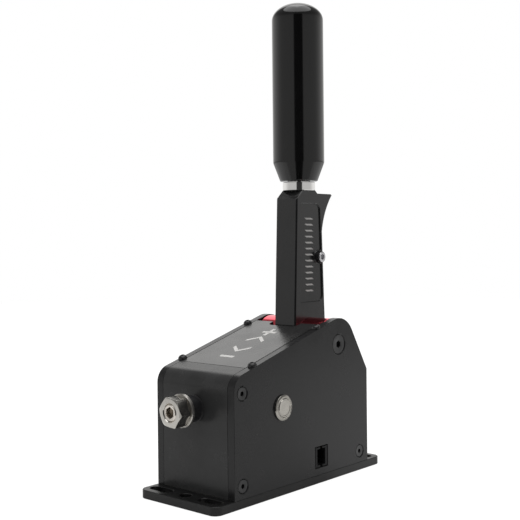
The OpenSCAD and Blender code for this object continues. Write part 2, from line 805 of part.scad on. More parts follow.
module stop_sleeves() {
    color("#151515") each_stop() difference() {
        rod_x(-inner_x + slack, inner_x - slack, 0, 0, stop_r);
        rod_x(-inner_x, inner_x, 0, 0, stop_core_r + run_fit);
    }
}

module adjuster_bush() {
    color("#1c1d1f") difference() {
        union() {
            rod_y(bush_front_y, front_y, 0, tail_z, bush_d / 2);
            rod_y(front_y, bulkhead_front_y, 0, tail_z, spigot_r);
        }
        rod_y(bush_front_y - 1, bulkhead_front_y + 1, 0, tail_z, screw_d / 2 + run_fit);
    }
}

module lock_washer() {
    color("silver") difference() {
        rod_y(washer_front_y, bush_front_y, 0, tail_z, washer_d / 2);
        rod_y(washer_front_y - 1, bush_front_y + 1, 0, tail_z, screw_d / 2 + 0.5);
    }
}

module lock_nut() {
    color("silver") translate([0, nut_front_y, tail_z]) rotate([-90, 0, 0])
        difference() {
            rotate([0, 0, nut_rest]) hex_nut(nut_af, nut_t, screw_d / 2 + run_fit);
            translate([0, 0, -0.01]) cylinder(h = 0.8, r1 = screw_d / 2 + 0.8, r2 = screw_d / 2);
        }
}

module preload_screw() {
    socket_af = screw_d * 0.58;
    color("#8f9094") translate([0, nut_front_y, tail_z]) rotate([-90, 0, 0]) difference() {
        rotate_extrude() polygon([[0, 0], [screw_d / 2 - 0.8, 0], [screw_d / 2, 0.8],
            [screw_d / 2, screw_l - 1.5], [screw_d / 2 - 1.5, screw_l], [0, screw_l]]);
        translate([0, 0, -1]) rotate(30) cylinder(h = 9, d = socket_af / cos(30), $fn = 6);
    }
}

module spring_seat() {
    color("#9a9b9e") difference() {
        union() {
            rod_y(seat_y, seat_y + seat_t, 0, tail_z, cup_d / 2);
            rod_y(seat_y, seat_y + seat_t + seat_spigot_l, 0, tail_z, front_spigot_r);
        }
        rod_y(seat_bore_y, seat_y + seat_t + seat_spigot_l + 1, 0, tail_z, rod_d / 2 + run_fit);
    }
}

module guide_rod() {
    color("silver") rod_y(rod_front_y, rear_wall_y, 0, tail_z, rod_d / 2);
}

// Cup that carries a spring's end along the rod, with its flange towards the lever's tail
module spring_cup(inner_r, spigot_l) {
    difference() {
        union() {
            cylinder(h = cup_t, d = cup_d);
            cylinder(h = cup_t + spigot_l, r = inner_r);
        }
        translate([0, 0, -1]) cylinder(h = cup_t + spigot_l + 2, r = rod_d / 2 + run_fit);
    }
}

module front_cup() {
    color("#9a9b9e") translate([0, front_cup_y, tail_z]) rotate([90, 0, 0])
        spring_cup(front_spigot_r, front_spigot_l);
}

module rear_cup() {
    color("#9a9b9e") translate([0, rear_cup_y, tail_z]) rotate([-90, 0, 0])
        spring_cup(rear_spigot_r, rear_spigot_l);
}

module front_spring() {
    start = seat_y + seat_t + run_fit;
    color("#b9babd") translate([0, start, tail_z]) rotate([-90, 0, 0])
        coil_spring(front_cup_y - cup_t - run_fit - start, coil_d, front_wire_d, front_turns);
}

module rear_spring() {
    start = rear_cup_y + cup_t + run_fit;
    color("#b9babd") translate([0, start, tail_z]) rotate([-90, 0, 0])
        coil_spring(rear_pocket_y - run_fit - start, coil_d, rear_wire_d, rear_turns);
}

// Side view of the lever: tapered bar, round boss at the pivot, and tail
module bar_outline() {
    neck_top = cup_d / 2 + 1;
    flare_low = stop_drop + 2;
    slope_h = bar_h - shoulder_h;
    translate(pivot) {
        polygon([[-bar_half(0), 0], [bar_half(0), 0], [bar_half(slope_h), slope_h],
            [bar_half(bar_h) - shoulder_l, bar_h], [-bar_half(bar_h) + shoulder_l, bar_h],
            [-bar_half(slope_h), slope_h]]);
        circle(boss_r);
        polygon(concat([[-tail_r, 0], [-tail_r, -flare_low], [-neck_r, neck_top - tail_arm]],
            arc_points([0, -tail_arm], tail_r, 180 - neck_a, 360 + neck_a, 36),
            [[neck_r, neck_top - tail_arm], [tail_r, -flare_low], [tail_r, 0]]));
    }
}

// Pocket in a side of the lever, with the trigger's boss left standing
module pocket_outline() {
    high = bar_h - pocket_high;
    difference() {
        translate(pivot) polygon(round_outline([
            [-bar_half(pocket_low) + pocket_rim, pocket_low], [bar_half(pocket_low) - pocket_rim, pocket_low],
            [bar_half(high) - pocket_rim, high], [-bar_half(high) + pocket_rim, high]], pocket_r));
        translate(trigger_pivot) circle(trigger_boss_r);
        translate(trigger_pivot - [0, trigger_boss_r]) square(2 * trigger_boss_r);
    }
}

// Wedges that chamfer the lever's long edges
module bar_edge_cuts() {
    lean = atan2((bar_foot_l - bar_top_l) / 2, bar_h);
    side = bar_edge * sqrt(2);
    for (x = [-1, 1], end = [-1, 1])
        translate([x * bar_x, axis_y + end * bar_half(0), pivot[1]]) rotate([end * lean, 0, 0])
            rotate(45) translate([-side / 2, -side / 2, 0]) cube([side, side, 2 * bar_h]);
}

module lever_bar() {
    slot_low_z = trigger_pivot[1] - trigger_down - 3;
    switch_z = trigger_pivot[1] + switch_up;
    switch_w = switch_size[0] + 2 * run_fit;
    switch_h = switch_size[2] + 2 * run_fit;
    color("#222326") difference() {
        across(-bar_x, bar_x) bar_outline();
        bar_edge_cuts();
        both_sides() across(bar_x - pocket_d, bar_x + 1) pocket_outline();
        translate([-slot_x, slot_floor_y, slot_low_z]) cube([2 * slot_x, bar_foot_l, bar_h]);
        translate([0, axis_y, bar_top_z - stud_deep]) cylinder(h = stud_deep + 1, r = stud_d / 2 + run_fit);
        translate([-switch_w / 2, slot_floor_y - switch_size[1], switch_z - switch_h / 2])
            cube([switch_w, switch_size[1] + 1, switch_h]);
        rod_x(-bar_w, bar_w, trigger_pivot[0], trigger_pivot[1], trigger_screw_d / 2 + run_fit);
        rod_x(head_x, bar_w, trigger_pivot[0], trigger_pivot[1], head_bore_r);
        rod_x(-bar_w, bar_w, pivot[0], pivot[1], axle_d / 2 + 2 * slack);
        each_cheek_bolt() rod_x(-bar_w, bar_w, 0, 0, cheek_bolt_d / 2 + run_fit);
        rod_y(axis_y - bar_foot_l, axis_y + bar_foot_l, 0, tail_z, tail_bore_r);
        rod_x(bar_x - magnet_t, bar_x + 1, axis_y, sensor_z, magnet_r + run_fit);
    }
}

// Rocker cheek on the right: a drum that clamps the lever and runs on the axle
module rocker_cheek() {
    difference() {
        rod_x(bar_x, cheek_out, pivot[0], pivot[1], cheek_r);
        rod_x(0, inner_x, pivot[0], pivot[1], bush_out_r);
        each_cheek_bolt() {
            rod_x(0, inner_x, 0, 0, cheek_bolt_d / 2 + run_fit);
            rod_x(bolt_seat_x, inner_x, 0, 0, bolt_head_r + slack);
        }
    }
}

module left_rocker_cheek() {
    color("#c22038") mirror([1, 0, 0]) rocker_cheek();
}

module right_rocker_cheek() {
    color("#c22038") rocker_cheek();
}

module cheek_bolts() {
    color("#2d2e31") each_cheek_bolt() difference() {
        union() {
            rod_x(-cheek_out + 1, bolt_seat_x, 0, 0, cheek_bolt_d / 2);
            rod_x(bolt_seat_x, bolt_seat_x + cheek_bolt_d, 0, 0, bolt_head_r);
        }
        translate([bolt_seat_x + cheek_bolt_d * 0.5, 0, 0]) rotate([0, 90, 0])
            cylinder(h = cheek_bolt_d, d = cheek_bolt_d * 0.75 / cos(30), $fn = 6);
    }
}

module cheek_nuts() {
    color("silver") each_cheek_bolt() translate([-bolt_seat_x, 0, 0]) rotate([0, -90, 0])
        hex_nut(bolt_head_r * 2 * cos(30), cheek_bolt_d * 0.8, cheek_bolt_d / 2 + run_fit);
}

module pivot_bushes() {
    color("#b08d4a") both_sides() difference() {
        rod_x(bar_x + slack, cheek_out, pivot[0], pivot[1], bush_out_r);
        rod_x(0, inner_x, pivot[0], pivot[1], axle_d / 2 + run_fit);
    }
}

module sensor_magnet() {
    color("#c9c9cc") rod_x(bar_x - magnet_t, bar_x, axis_y, sensor_z, magnet_r);
}

module lever_collar() {
    edge = 0.6;
    color("#d4d5d8") difference() {
        translate([0, axis_y, bar_top_z]) rotate_extrude() polygon([[0, 0], [collar_d / 2 - edge, 0],
            [collar_d / 2, edge], [collar_d / 2, collar_h - edge], [collar_d / 2 - edge, collar_h],
            [neck_d / 2, collar_h], [neck_d / 2, collar_h + neck_h], [0, collar_h + neck_h]]);
        translate([0, axis_y, bar_top_z - 1]) cylinder(h = collar_h + neck_h + 2, r = stud_d / 2 + run_fit);
    }
}

module knob_stud() {
    color("silver") translate([0, axis_y, bar_top_z - stud_deep])
        cylinder(h = knob_z + stud_deep - bar_top_z + stud_deep, d = stud_d);
}

insert_r = stud_d / 2 + 3;

module knob_insert() {
    color("#b9974f") translate([0, axis_y, knob_z]) difference() {
        cylinder(h = stud_deep + 1, r = insert_r);
        translate([0, 0, -1]) cylinder(h = stud_deep + 1 + run_fit, r = stud_d / 2 + run_fit);
    }
}

module knob() {
    dome_z = knob_l - knob_dome_h;
    color("#2a2b2e") translate([0, axis_y, knob_z]) difference() {
        rotate_extrude() polygon(concat([[0, 0], [knob_foot_d / 2, 0], [knob_d / 2, knob_cone_h]],
            [for (a = [0:6:84]) [knob_d / 2 * cos(a), dome_z + knob_dome_h * sin(a)]], [[0, knob_l]]));
        translate([0, 0, -1]) cylinder(h = stud_deep + 2, r = insert_r);
    }
}

// Side view of the trigger, from its own pivot
module trigger_outline() {
    front = trigger_back_y - trigger_pivot[0];
    heel = 2 * slack - trigger_pivot[0] + slot_floor_y;
    tip = [trigger_reach, trigger_up - 1];
    saddle = [trigger_waist, trigger_up * 0.3];
    hollow = [trigger_waist + 2, trigger_up * 0.7];
    translate(trigger_pivot)
        polygon(concat(arc_points([0, 0], trigger_hub_r, 360 - acos(heel / trigger_hub_r),
                acos(front / trigger_hub_r), 12),
            [[front, trigger_up], [trigger_reach - 0.6, trigger_up]],
            [for (t = [0:0.05:1]) curve_point(tip, hollow, saddle, t)],
            [[trigger_foot, -trigger_down + 4], [trigger_foot - 3.4, -trigger_down],
                [heel + 2, -trigger_down], [heel, -trigger_down + 2]]));
}

module trigger() {
    color("#202124") difference() {
        across(-trigger_w / 2, trigger_w / 2) trigger_outline();
        rod_x(-trigger_w, trigger_w, trigger_pivot[0], trigger_pivot[1], trigger_screw_d / 2 + 1);
        rod_y(trigger_back_y - spring_bore_l, trigger_back_y + spring_bore_l, 0,
            trigger_pivot[1] + spring_bore_up, spring_bore_r);
    }
}

module trigger_bush() {
    color("#b08d4a") difference() {
        rod_x(-trigger_w / 2, trigger_w / 2, trigger_pivot[0], trigger_pivot[1], trigger_screw_d / 2 + 1);
        rod_x(-trigger_w, trigger_w, trigger_pivot[0], trigger_pivot[1], trigger_screw_d / 2 + run_fit);
    }
}

module trigger_screw() {
    edge = 0.4;
    edge_x = head_x + trigger_screw_d - edge;
    color("silver") translate([0, trigger_pivot[0], trigger_pivot[1]]) difference() {
        union() {
            rod_x(-bar_x - trigger_screw_d * 0.8, head_x, 0, 0, trigger_screw_d / 2);
            rod_x(head_x, edge_x, 0, 0, head_r);
            translate([edge_x, 0, 0]) rotate([0, 90, 0]) cylinder(h = edge, r1 = head_r, r2 = head_r - edge);
        }
        translate([head_x + trigger_screw_d * 0.5, 0, 0]) rotate([0, 90, 0])
            cylinder(h = trigger_screw_d, d = trigger_screw_d * 0.8 / cos(30), $fn = 6);
    }
}

module trigger_nut() {
    color("silver") translate([-bar_x, trigger_pivot[0], trigger_pivot[1]]) rotate([0, -90, 0])
        hex_nut(trigger_screw_d * 1.6, trigger_screw_d * 0.8, trigger_screw_d / 2 + run_fit);
}

module trigger_spring() {
    far_y = trigger_back_y + spring_bore_l - run_fit;
    color("#b9babd") translate([0, slot_floor_y + run_fit, trigger_pivot[1] + spring_bore_up])
        rotate([-90, 0, 0]) coil_spring(far_y - slot_floor_y - run_fit, 3.9, 0.7, 7);
}

module trigger_switch() {
    mid_z = trigger_pivot[1] + switch_up;
    tip_y = trigger_back_y - switch_up * sin(pull_deg) - slack;
    color("#1d1d1f") union() {
        translate([-switch_size[0] / 2, slot_floor_y - switch_size[1], mid_z - switch_size[2] / 2])
            cube(switch_size);
        rod_y(slot_floor_y - 1, tip_y, 0, mid_z, 1);
    }
}

module button_housing() {
    color("#cfd0d3") translate([0, button_y, button_z]) difference() {
        union() {
            translate([half_w, 0, 0]) rotate([0, 90, 0]) {
                cylinder(h = bezel_t - 0.6, d = bezel_d);
                translate([0, 0, bezel_t - 0.6]) cylinder(h = 0.6, r1 = bezel_d / 2, r2 = bezel_d / 2 - 0.6);
            }
            rod_x(button_rear_x, half_w, 0, 0, button_d / 2);
        }
        rod_x(button_floor_x, half_w + bezel_t + 1, 0, 0, cap_d / 2 + 2 * run_fit);
        rod_x(button_well_x, half_w, 0, 0, button_spring_r + 2 * slack);
    }
}

module button_nut() {
    color("#b9babd") translate([inner_x - button_nut_t, button_y, button_z]) rotate([0, 90, 0])
        hex_nut(button_d + 3, button_nut_t, button_d / 2 + run_fit);
}

module button_terminals() {
    color("#c9a24a") for (s = [-1, 1])
        translate([button_rear_x - pin_l, button_y + s * pin_pitch - 0.4, button_z - 1.4])
            cube([pin_l, 0.8, 2.8]);
}

module button_cap() {
    face_x = half_w + bezel_t + cap_proud;
    color("#e2e3e5") translate([0, button_y, button_z]) difference() {
        union() {
            rod_x(cap_rear_x, face_x - 0.5, 0, 0, cap_d / 2);
            translate([face_x - 0.5, 0, 0]) rotate([0, 90, 0])
                cylinder(h = 0.5, r1 = cap_d / 2, r2 = cap_d / 2 - 0.5);
        }
        rod_x(cap_rear_x - 1, cap_rear_x + 1, 0, 0, button_spring_r + 2 * slack);
    }
}

module button_spring() {
    color("#b9babd") translate([button_well_x + run_fit, button_y, button_z]) rotate([0, 90, 0])
        coil_spring(cap_rear_x + 1 - button_well_x - 2 * run_fit, 2 * button_spring_r - 0.6, 0.6, 5);
}

module signal_jack() {
    rear_x = jack_face_x - jack_l;
    slot_x0 = jack_face_x - jack_slot_l;
    color("#141415") difference() {
        translate([rear_x, jack_y - jack_w / 2, jack_mid_z - jack_z / 2]) cube([jack_l, jack_w, jack_z]);
        translate([slot_x0, jack_y - jack_slot_w / 2, jack_mid_z - jack_slot_z / 2])
            cube([jack_slot_l + 1, jack_slot_w, jack_slot_z]);
        translate([slot_x0 + 4, jack_y + jack_slot_w / 2 - 1, jack_mid_z - 3])
            cube([jack_slot_l - 6, 2.4, 6]);
        for (s = [-1, 1]) translate([jack_face_x - 3, jack_y - 1.2, jack_mid_z + s * jack_slot_z / 2 - 1.6])
            cube([4, 2.4, 3.2]);
    }
}

module jack_contacts() {
    pitch = 1.02;
    contact = [jack_slot_l - 5, 0.7, 0.5];
    color("#d9b14a") translate([jack_face_x - jack_slot_l, jack_y - jack_slot_w / 2, jack_mid_z])
        for (i = [0:7]) translate([0, 0, (i - 3.5) * pitch - contact[2] / 2]) cube(contact);
}

module circuit_board() {
    color("#1d5b3a") difference() {
        translate([board_x0, board_back_y, board_z0]) cube([board_l, board_t, board_h]);
        for (p = board_holes) rod_y(board_back_y - 1, board_face_y + 1, p[0], p[1], board_screw_r + run_fit);
    }
}

module board_chips() {
    color("#1a1a1c") {
        translate([board_x0 + board_l * 0.3, board_face_y, board_z0 + board_h * 0.55])
            cube([chip_w, chip_t, chip_w]);
        translate([board_x0 + board_l * 0.3, board_face_y, board_z0 + board_h * 0.2])
            cube([chip_w * 0.6, chip_t, chip_w * 0.5]);
        translate([board_x0 + board_l * 0.5, board_face_y, board_z0 + board_h * 0.2])
            cube([chip_w * 0.4, chip_t * 1.5, chip_w * 0.8]);
        translate([plug_x - plug_size[0] / 2, board_face_y, plug_top_z - plug_size[2]]) cube(plug_size);
    }
}

module board_bracket() {
    color("#8f9094") difference() {
        union() {
            translate([board_x0, bracket_y - bracket_t, base_t]) cube([bracket_l, bracket_t, board_h - 2]);
            translate([board_x0, bracket_y - bracket_foot_l, base_t])
                cube([bracket_l, bracket_foot_l, bracket_t]);
            for (p = board_holes) rod_y(bracket_y - 1, board_back_y, p[0], p[1], 3);
        }
        for (p = board_holes)
            rod_y(bracket_y - bracket_t - 1, board_back_y + 1, p[0], p[1], board_screw_r + run_fit);
        each_base_screw() translate([0, 0, -base_t - bracket_t - 1])
            cylinder(h = base_t + bracket_t + 2, r = base_screw_d / 2 + run_fit);
    }
}

// Small cheese head screw along z, with its head's underside at z = 0
module board_screw(l) {
    difference() {
        union() {
            cylinder(h = 1.8, r = 2.6);
            translate([0, 0, -l]) cylinder(h = l, r = board_screw_r);
        }
        translate([0, 0, 0.8]) cylinder(h = 2, d = 2.9, $fn = 6);
    }
}

module board_screws() {
    color("#b9babd") {
        for (p = board_holes) translate([p[0], board_face_y, p[1]]) rotate([-90, 0, 0])
            board_screw(board_t + standoff_l + bracket_t);
        for (p = sensor_holes) translate([sensor_x, p[0], p[1]]) rotate([0, -90, 0]) board_screw(board_t + 6);
    }
}

module sensor_board() {
    color("#1d5b3a") difference() {
        translate([sensor_x, axis_y - sensor_size[1] / 2, sensor_z - sensor_size[2] / 2]) cube(sensor_size);
        for (p = sensor_holes)
            rod_x(sensor_x - 1, sensor_x + board_t + 1, p[0], p[1], board_screw_r + run_fit);
    }
}

module hall_sensor() {
    color("#1a1a1c") translate([sensor_x - chip_t, axis_y - 2, sensor_z - 1.5]) cube([chip_t, 4, 3]);
}

module sensor_posts() {
    color("#c9a24a") for (p = sensor_holes) difference() {
        union() {
            rod_x(sensor_x + board_t, inner_x, p[0], p[1], 2.75);
            rod_x(inner_x - 1, inner_x + 2.6, p[0], p[1], board_screw_r);
        }
        rod_x(sensor_x, sensor_x + board_t + 7, p[0], p[1], board_screw_r + run_fit);
    }
}

module button_lead() {
    color("#a02020") lead(button_route, lead_r);
}

module sensor_lead() {
    color("#303033") lead(sensor_route, lead_r);
}

base_plate();
left_side_plate();
right_side_plate();
front_bulkhead();
rear_bulkhead();
front_cover();
top_plate();
rear_cover();
side_screws();
top_screws();
base_screws();
pivot_axle();
axle_screws();
thrust_washers();
stop_pins();
stop_sleeves();
adjuster_bush();
lock_washer();
lock_nut();
preload_screw();
spring_seat();
guide_rod();
front_cup();
rear_cup();
front_spring();
rear_spring();
lever_bar();
left_rocker_cheek();
right_rocker_cheek();
cheek_bolts();
cheek_nuts();
pivot_bushes();
sensor_magnet();
lever_collar();
knob_stud();
knob_insert();
knob();
trigger();
trigger_bush();
trigger_screw();
trigger_nut();
trigger_spring();
trigger_switch();
button_housing();
button_nut();
button_terminals();
button_cap();
button_spring();
signal_jack();
jack_contacts();
circuit_board();
board_chips();
board_bracket();
board_screws();
sensor_board();
hall_sensor();
sensor_posts();
button_lead();
sensor_lead();
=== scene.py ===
"""Gear shifter for a driving simulator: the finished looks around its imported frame."""

import logging
import math
from dataclasses import dataclass, field
from enum import Enum
from typing import Callable, Mapping, Sequence

import bpy
from mathutils import Matrix, Vector


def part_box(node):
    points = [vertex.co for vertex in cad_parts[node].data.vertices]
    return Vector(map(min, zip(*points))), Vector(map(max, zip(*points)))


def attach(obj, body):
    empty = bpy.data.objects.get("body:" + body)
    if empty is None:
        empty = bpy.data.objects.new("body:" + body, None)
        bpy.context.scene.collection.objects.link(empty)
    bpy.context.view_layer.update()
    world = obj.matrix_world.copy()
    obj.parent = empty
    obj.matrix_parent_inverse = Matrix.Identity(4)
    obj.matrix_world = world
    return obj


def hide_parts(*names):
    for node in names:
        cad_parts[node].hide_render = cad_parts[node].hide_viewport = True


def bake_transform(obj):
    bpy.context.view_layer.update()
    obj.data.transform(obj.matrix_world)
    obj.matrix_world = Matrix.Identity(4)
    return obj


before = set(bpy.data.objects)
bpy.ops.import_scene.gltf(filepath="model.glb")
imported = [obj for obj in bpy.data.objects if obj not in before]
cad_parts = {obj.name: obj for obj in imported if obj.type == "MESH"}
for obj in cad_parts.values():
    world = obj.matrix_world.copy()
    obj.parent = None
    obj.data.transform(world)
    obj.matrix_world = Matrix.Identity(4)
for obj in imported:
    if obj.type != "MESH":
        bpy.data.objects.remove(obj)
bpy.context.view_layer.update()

MM = 0.001
LOG = logging.getLogger("shifter")

# Faces across a crisp broken edge, and least angles of edges in degrees
CRISP = 1
EDGE_ANGLE = 28.0
NUT_ANGLE = 24.0
STEEP_ANGLE = 50.0
WIRE_ANGLE = 60.0

# Lengths in millimetres, and shares
HEX_CORNER = 0.577
PLAY = 0.05
MARK_T = 0.04
NUT_SLANT = math.tan(math.radians(30))

# Values of the node materials
CLOUD = {"Scale": 55.0, "Detail": 5.0, "Roughness": 0.62}
CLOUD_RANGE = (0.3, 0.7)
BLOOM_SPREAD = 0.25
LEAST_ROUGHNESS = 0.03
WORN_REACH = 0.5
WORN_TURN = (0.995, 0.93)
WORN_PATCH = (0.38, 0.62)
WHOLE = (0.0, 1.0)

Flat = tuple[float, float]
Point = tuple[float, float, float]
Profile = Sequence[Flat]
Ring = Callable[[float], Flat]
MeshData = tuple[list[Point], list[tuple[int, ...]]]
Placed = tuple[MeshData, Matrix]
Socket = bpy.types.NodeSocket
Inputs = Mapping[str | int, object]


class Body(Enum):
    """Moving bodies that pieces ride on."""

    HOUSING = "housing"
    LEVER = "lever"
    TRIGGER = "trigger"
    BUTTON = "button"
    FRONT_FOLLOWER = "front_follower"
    REAR_FOLLOWER = "rear_follower"
    SEAT = "seat"
    ADJUSTER = "adjuster"
    NUT = "nut"


class Facing(Enum):
    """Ways a turned piece can face, as turns from the upright."""

    UP = (0.0, 0.0)
    RIGHT = (0.0, 90.0)
    LEFT = (0.0, -90.0)
    BACK = (-90.0, 0.0)
    DOWN = (180.0, 0.0)

    def matrix(self, place: Point, tilt: float = 0.0) -> Matrix:
        """Matrix that puts a piece turned about z at a place.

        Args:
            place: The piece's origin, in millimetres.
            tilt: Turn about the x axis after facing, in radians.

        Returns:
            The matrix, in millimetres.
        """
        about_x, about_y = (math.radians(angle) for angle in self.value)
        turn = Matrix.Rotation(about_y, 4, "Y") @ Matrix.Rotation(about_x, 4, "X")
        return Matrix.Translation(place) @ Matrix.Rotation(tilt, 4, "X") @ turn


SIDES = ((1, Facing.RIGHT), (-1, Facing.LEFT))


class Texture(Enum):
    """Surface patterns of the finishes."""

    GRAIN = "grain"
    BRUSHED = "brushed"
    TURNED = "turned"
    MOULDED = "moulded"


@dataclass
class Graph:
    """Node tree that is being built."""

    tree: bpy.types.NodeTree

    def node(self, kind: str, inputs: Inputs, **settings: object) -> bpy.types.Node:
        """Adds a node.

        Args:
            kind: Type of the node.
            inputs: Constant or linked socket of each input, by its name or number.
            settings: Other values of the node.

        Returns:
            The node.
        """
        node = self.tree.nodes.new(kind)
        for name, value in settings.items():
            setattr(node, name, value)
        self.feed(node.inputs, inputs)
        return node

    def feed(self, sockets: Mapping[str | int, Socket], inputs: Inputs) -> None:
        """Sets inputs of a node.

        Args:
            sockets: The node's inputs.
            inputs: Constant or linked socket of each input.
        """
        for key, value in inputs.items():
            if isinstance(value, bpy.types.NodeSocket):
                self.tree.links.new(value, sockets[key])
            else:
                sockets[key].default_value = value

    def mapped(self, value: Socket, source: Flat, target: Flat = WHOLE, kind: str = "SMOOTHSTEP") -> Socket:
        """Maps a value from one range to another.

        Args:
            value: The value.
            source: Range that it comes from.
            target: Range that it goes to.
            kind: Way between the ends of the range.

        Returns:
            The mapped value.
        """
        ends = {"From Min": source[0], "From Max": source[1], "To Min": target[0], "To Max": target[1]}
        node = self.node("ShaderNodeMapRange", {"Value": value, **ends}, interpolation_type=kind)
        return node.outputs["Result"]

    def mixed(self, share: Socket, first: object, second: object, colour: bool = False) -> Socket:
        """Goes from one value to another by a share.

        Args:
            share: The second one's share.
            first: Value or socket where the share is 0.
            second: Value or socket where the share is 1.
            colour: Whether they are colours.

        Returns:
            The mixed value.
        """
        node = self.tree.nodes.new("ShaderNodeMix")
        node.data_type = "RGBA" if colour else "FLOAT"
        kind = "Color" if colour else "Float"
        sockets = {socket.identifier: socket for socket in node.inputs}
        self.feed(sockets, {"Factor_Float": share, f"A_{kind}": first, f"B_{kind}": second})
        return next(s for s in node.outputs if s.identifier == f"Result_{kind}")

    def combined(self, operation: str, first: Socket, second: Socket) -> Socket:
        """Puts two values together."""
        return self.node("ShaderNodeMath", {0: first, 1: second}, operation=operation).outputs["Value"]

    def vector(self, operation: str, inputs: Sequence[object], result: str = "Vector") -> Socket:
        """Works on directions."""
        node = self.node("ShaderNodeVectorMath", dict(enumerate(inputs)), operation=operation)
        return node.outputs[result]

    def show(self, output: str, share: Socket, first: Socket, second: Socket) -> None:
        """Ends the tree with a shader that gives way to another."""
        mix = self.node("ShaderNodeMixShader", {"Fac": share, 1: first, 2: second})
        self.node(output, {"Surface": mix.outputs["Shader"]})


@dataclass(frozen=True)
class Finish:
    """One surface finish, built as a node material.

    Attributes:
        slot: Material slot of the record that the finish belongs to.
        colour: Base colour, linear.
        roughness: Mean roughness.
        metallic: Share of bare metal.
        texture: Pattern of the fine relief.
        grain: Size of the fine relief, in millimetres.
        relief: Height of the fine relief, in millimetres.
        spread: How far the roughness strays from its mean.
        mottle: How far the colour strays from its mean.
        wear: Share of worn colour along the edges.
        worn: Colour of a worn edge, linear.
        axis: Axis that brushing or turning marks run around or along.
        ior: Refractive index of the surface layer.
        bloom: Pale bloom of a matt coat at a flat angle.
    """

    slot: str
    colour: Point
    roughness: float
    metallic: float = 0.0
    texture: Texture = Texture.GRAIN
    grain: float = 0.25
    relief: float = 0.004
    spread: float = 0.06
    mottle: float = 0.15
    wear: float = 0.0
    worn: Point = (0.16, 0.16, 0.165)
    axis: str = "Z"
    ior: float = 1.5
    bloom: float = 0.0

    def material(self) -> bpy.types.Material:
        """Finds the finish's material, or makes it on first use."""
        name = f"{self.slot}_{self.texture.value}_{self.axis.lower()}"
        return bpy.data.materials.get(name) or self._build(name)

    def _build(self, name: str) -> bpy.types.Material:
        """Makes the node material.

        Args:
            name: Name of the new material.

        Returns:
            The material.
        """
        material = bpy.data.materials.new(name)
        material.use_nodes = True
        material.diffuse_color = (*self.colour, 1.0)
        graph = Graph(material.node_tree)
        coords = graph.node("ShaderNodeTexCoord", {}).outputs["Object"]
        bump = graph.node("ShaderNodeBump", {
            "Strength": 1.0, "Distance": self.relief * MM, "Height": self._relief(graph, coords)})
        cloud = graph.node("ShaderNodeTexNoise", {**CLOUD, "Vector": coords}).outputs["Fac"]
        rough = (max(LEAST_ROUGHNESS, self.roughness - self.spread), min(1.0, self.roughness + self.spread))
        tone = graph.node("ShaderNodeValToRGB", {"Fac": cloud})
        stray = (1 - self.mottle, 1 + self.mottle)
        for element, place, share in zip(tone.color_ramp.elements, CLOUD_RANGE, stray):
            element.position = place
            element.color = (*(min(1.0, c * share) for c in self.colour), 1.0)
        colour = tone.outputs["Color"]
        if self.wear:
            colour = self._worn_edges(graph, cloud, colour)
        graph.feed(material.node_tree.nodes["Principled BSDF"].inputs, {
            "Base Color": colour, "Metallic": self.metallic, "IOR": self.ior,
            "Roughness": graph.mapped(cloud, CLOUD_RANGE, rough, "LINEAR"), "Normal": bump.outputs["Normal"],
            "Sheen Weight": self.bloom, "Sheen Roughness": BLOOM_SPREAD})
        return material

    def _relief(self, graph: Graph, coords: Socket) -> Socket:
        """Adds the fine relief of the finish.

        Args:
            graph: Nodes of the material.
            coords: Place on the piece.

        Returns:
            The relief's height.
        """
        stretch = {
            Texture.GRAIN: (1.0, 1.0, 1.0),
            Texture.MOULDED: (1.0, 1.0, 1.0),
            Texture.BRUSHED: tuple(0.02 if a == self.axis else 1.0 for a in "XYZ"),
            Texture.TURNED: tuple(1.0 if a == self.axis else 0.03 for a in "XYZ"),
        }[self.texture]
        place = graph.node("ShaderNodeMapping", {"Vector": coords, "Scale": stretch}).outputs["Vector"]
        detail = 2.0 if self.texture is Texture.MOULDED else 3.0
        scale = 1.0 / (self.grain * MM)
        noise = graph.node("ShaderNodeTexNoise", {"Vector": place, "Scale": scale, "Detail": detail})
        return noise.outputs["Fac"]

    def _worn_edges(self, graph: Graph, cloud: Socket, colour: Socket) -> Socket:
        """Rubs the colour off along the edges, in patches.

        Args:
            graph: Nodes of the material.
            cloud: Broad noise that breaks the wear up.
            colour: The unworn colour.

        Returns:
            The colour after wear.
        """
        rounded = graph.node("ShaderNodeBevel", {"Radius": WORN_REACH * MM}, samples=4)
        plain = graph.node("ShaderNodeNewGeometry", {})
        turn = graph.vector("DOT_PRODUCT", [rounded.outputs["Normal"], plain.outputs["Normal"]], "Value")
        edge = graph.mapped(turn, WORN_TURN, (0.0, self.wear), "LINEAR")
        patch = graph.mapped(cloud, WORN_PATCH, kind="LINEAR")
        return graph.mixed(graph.combined("MULTIPLY", edge, patch), colour, (*self.worn, 1.0), colour=True)


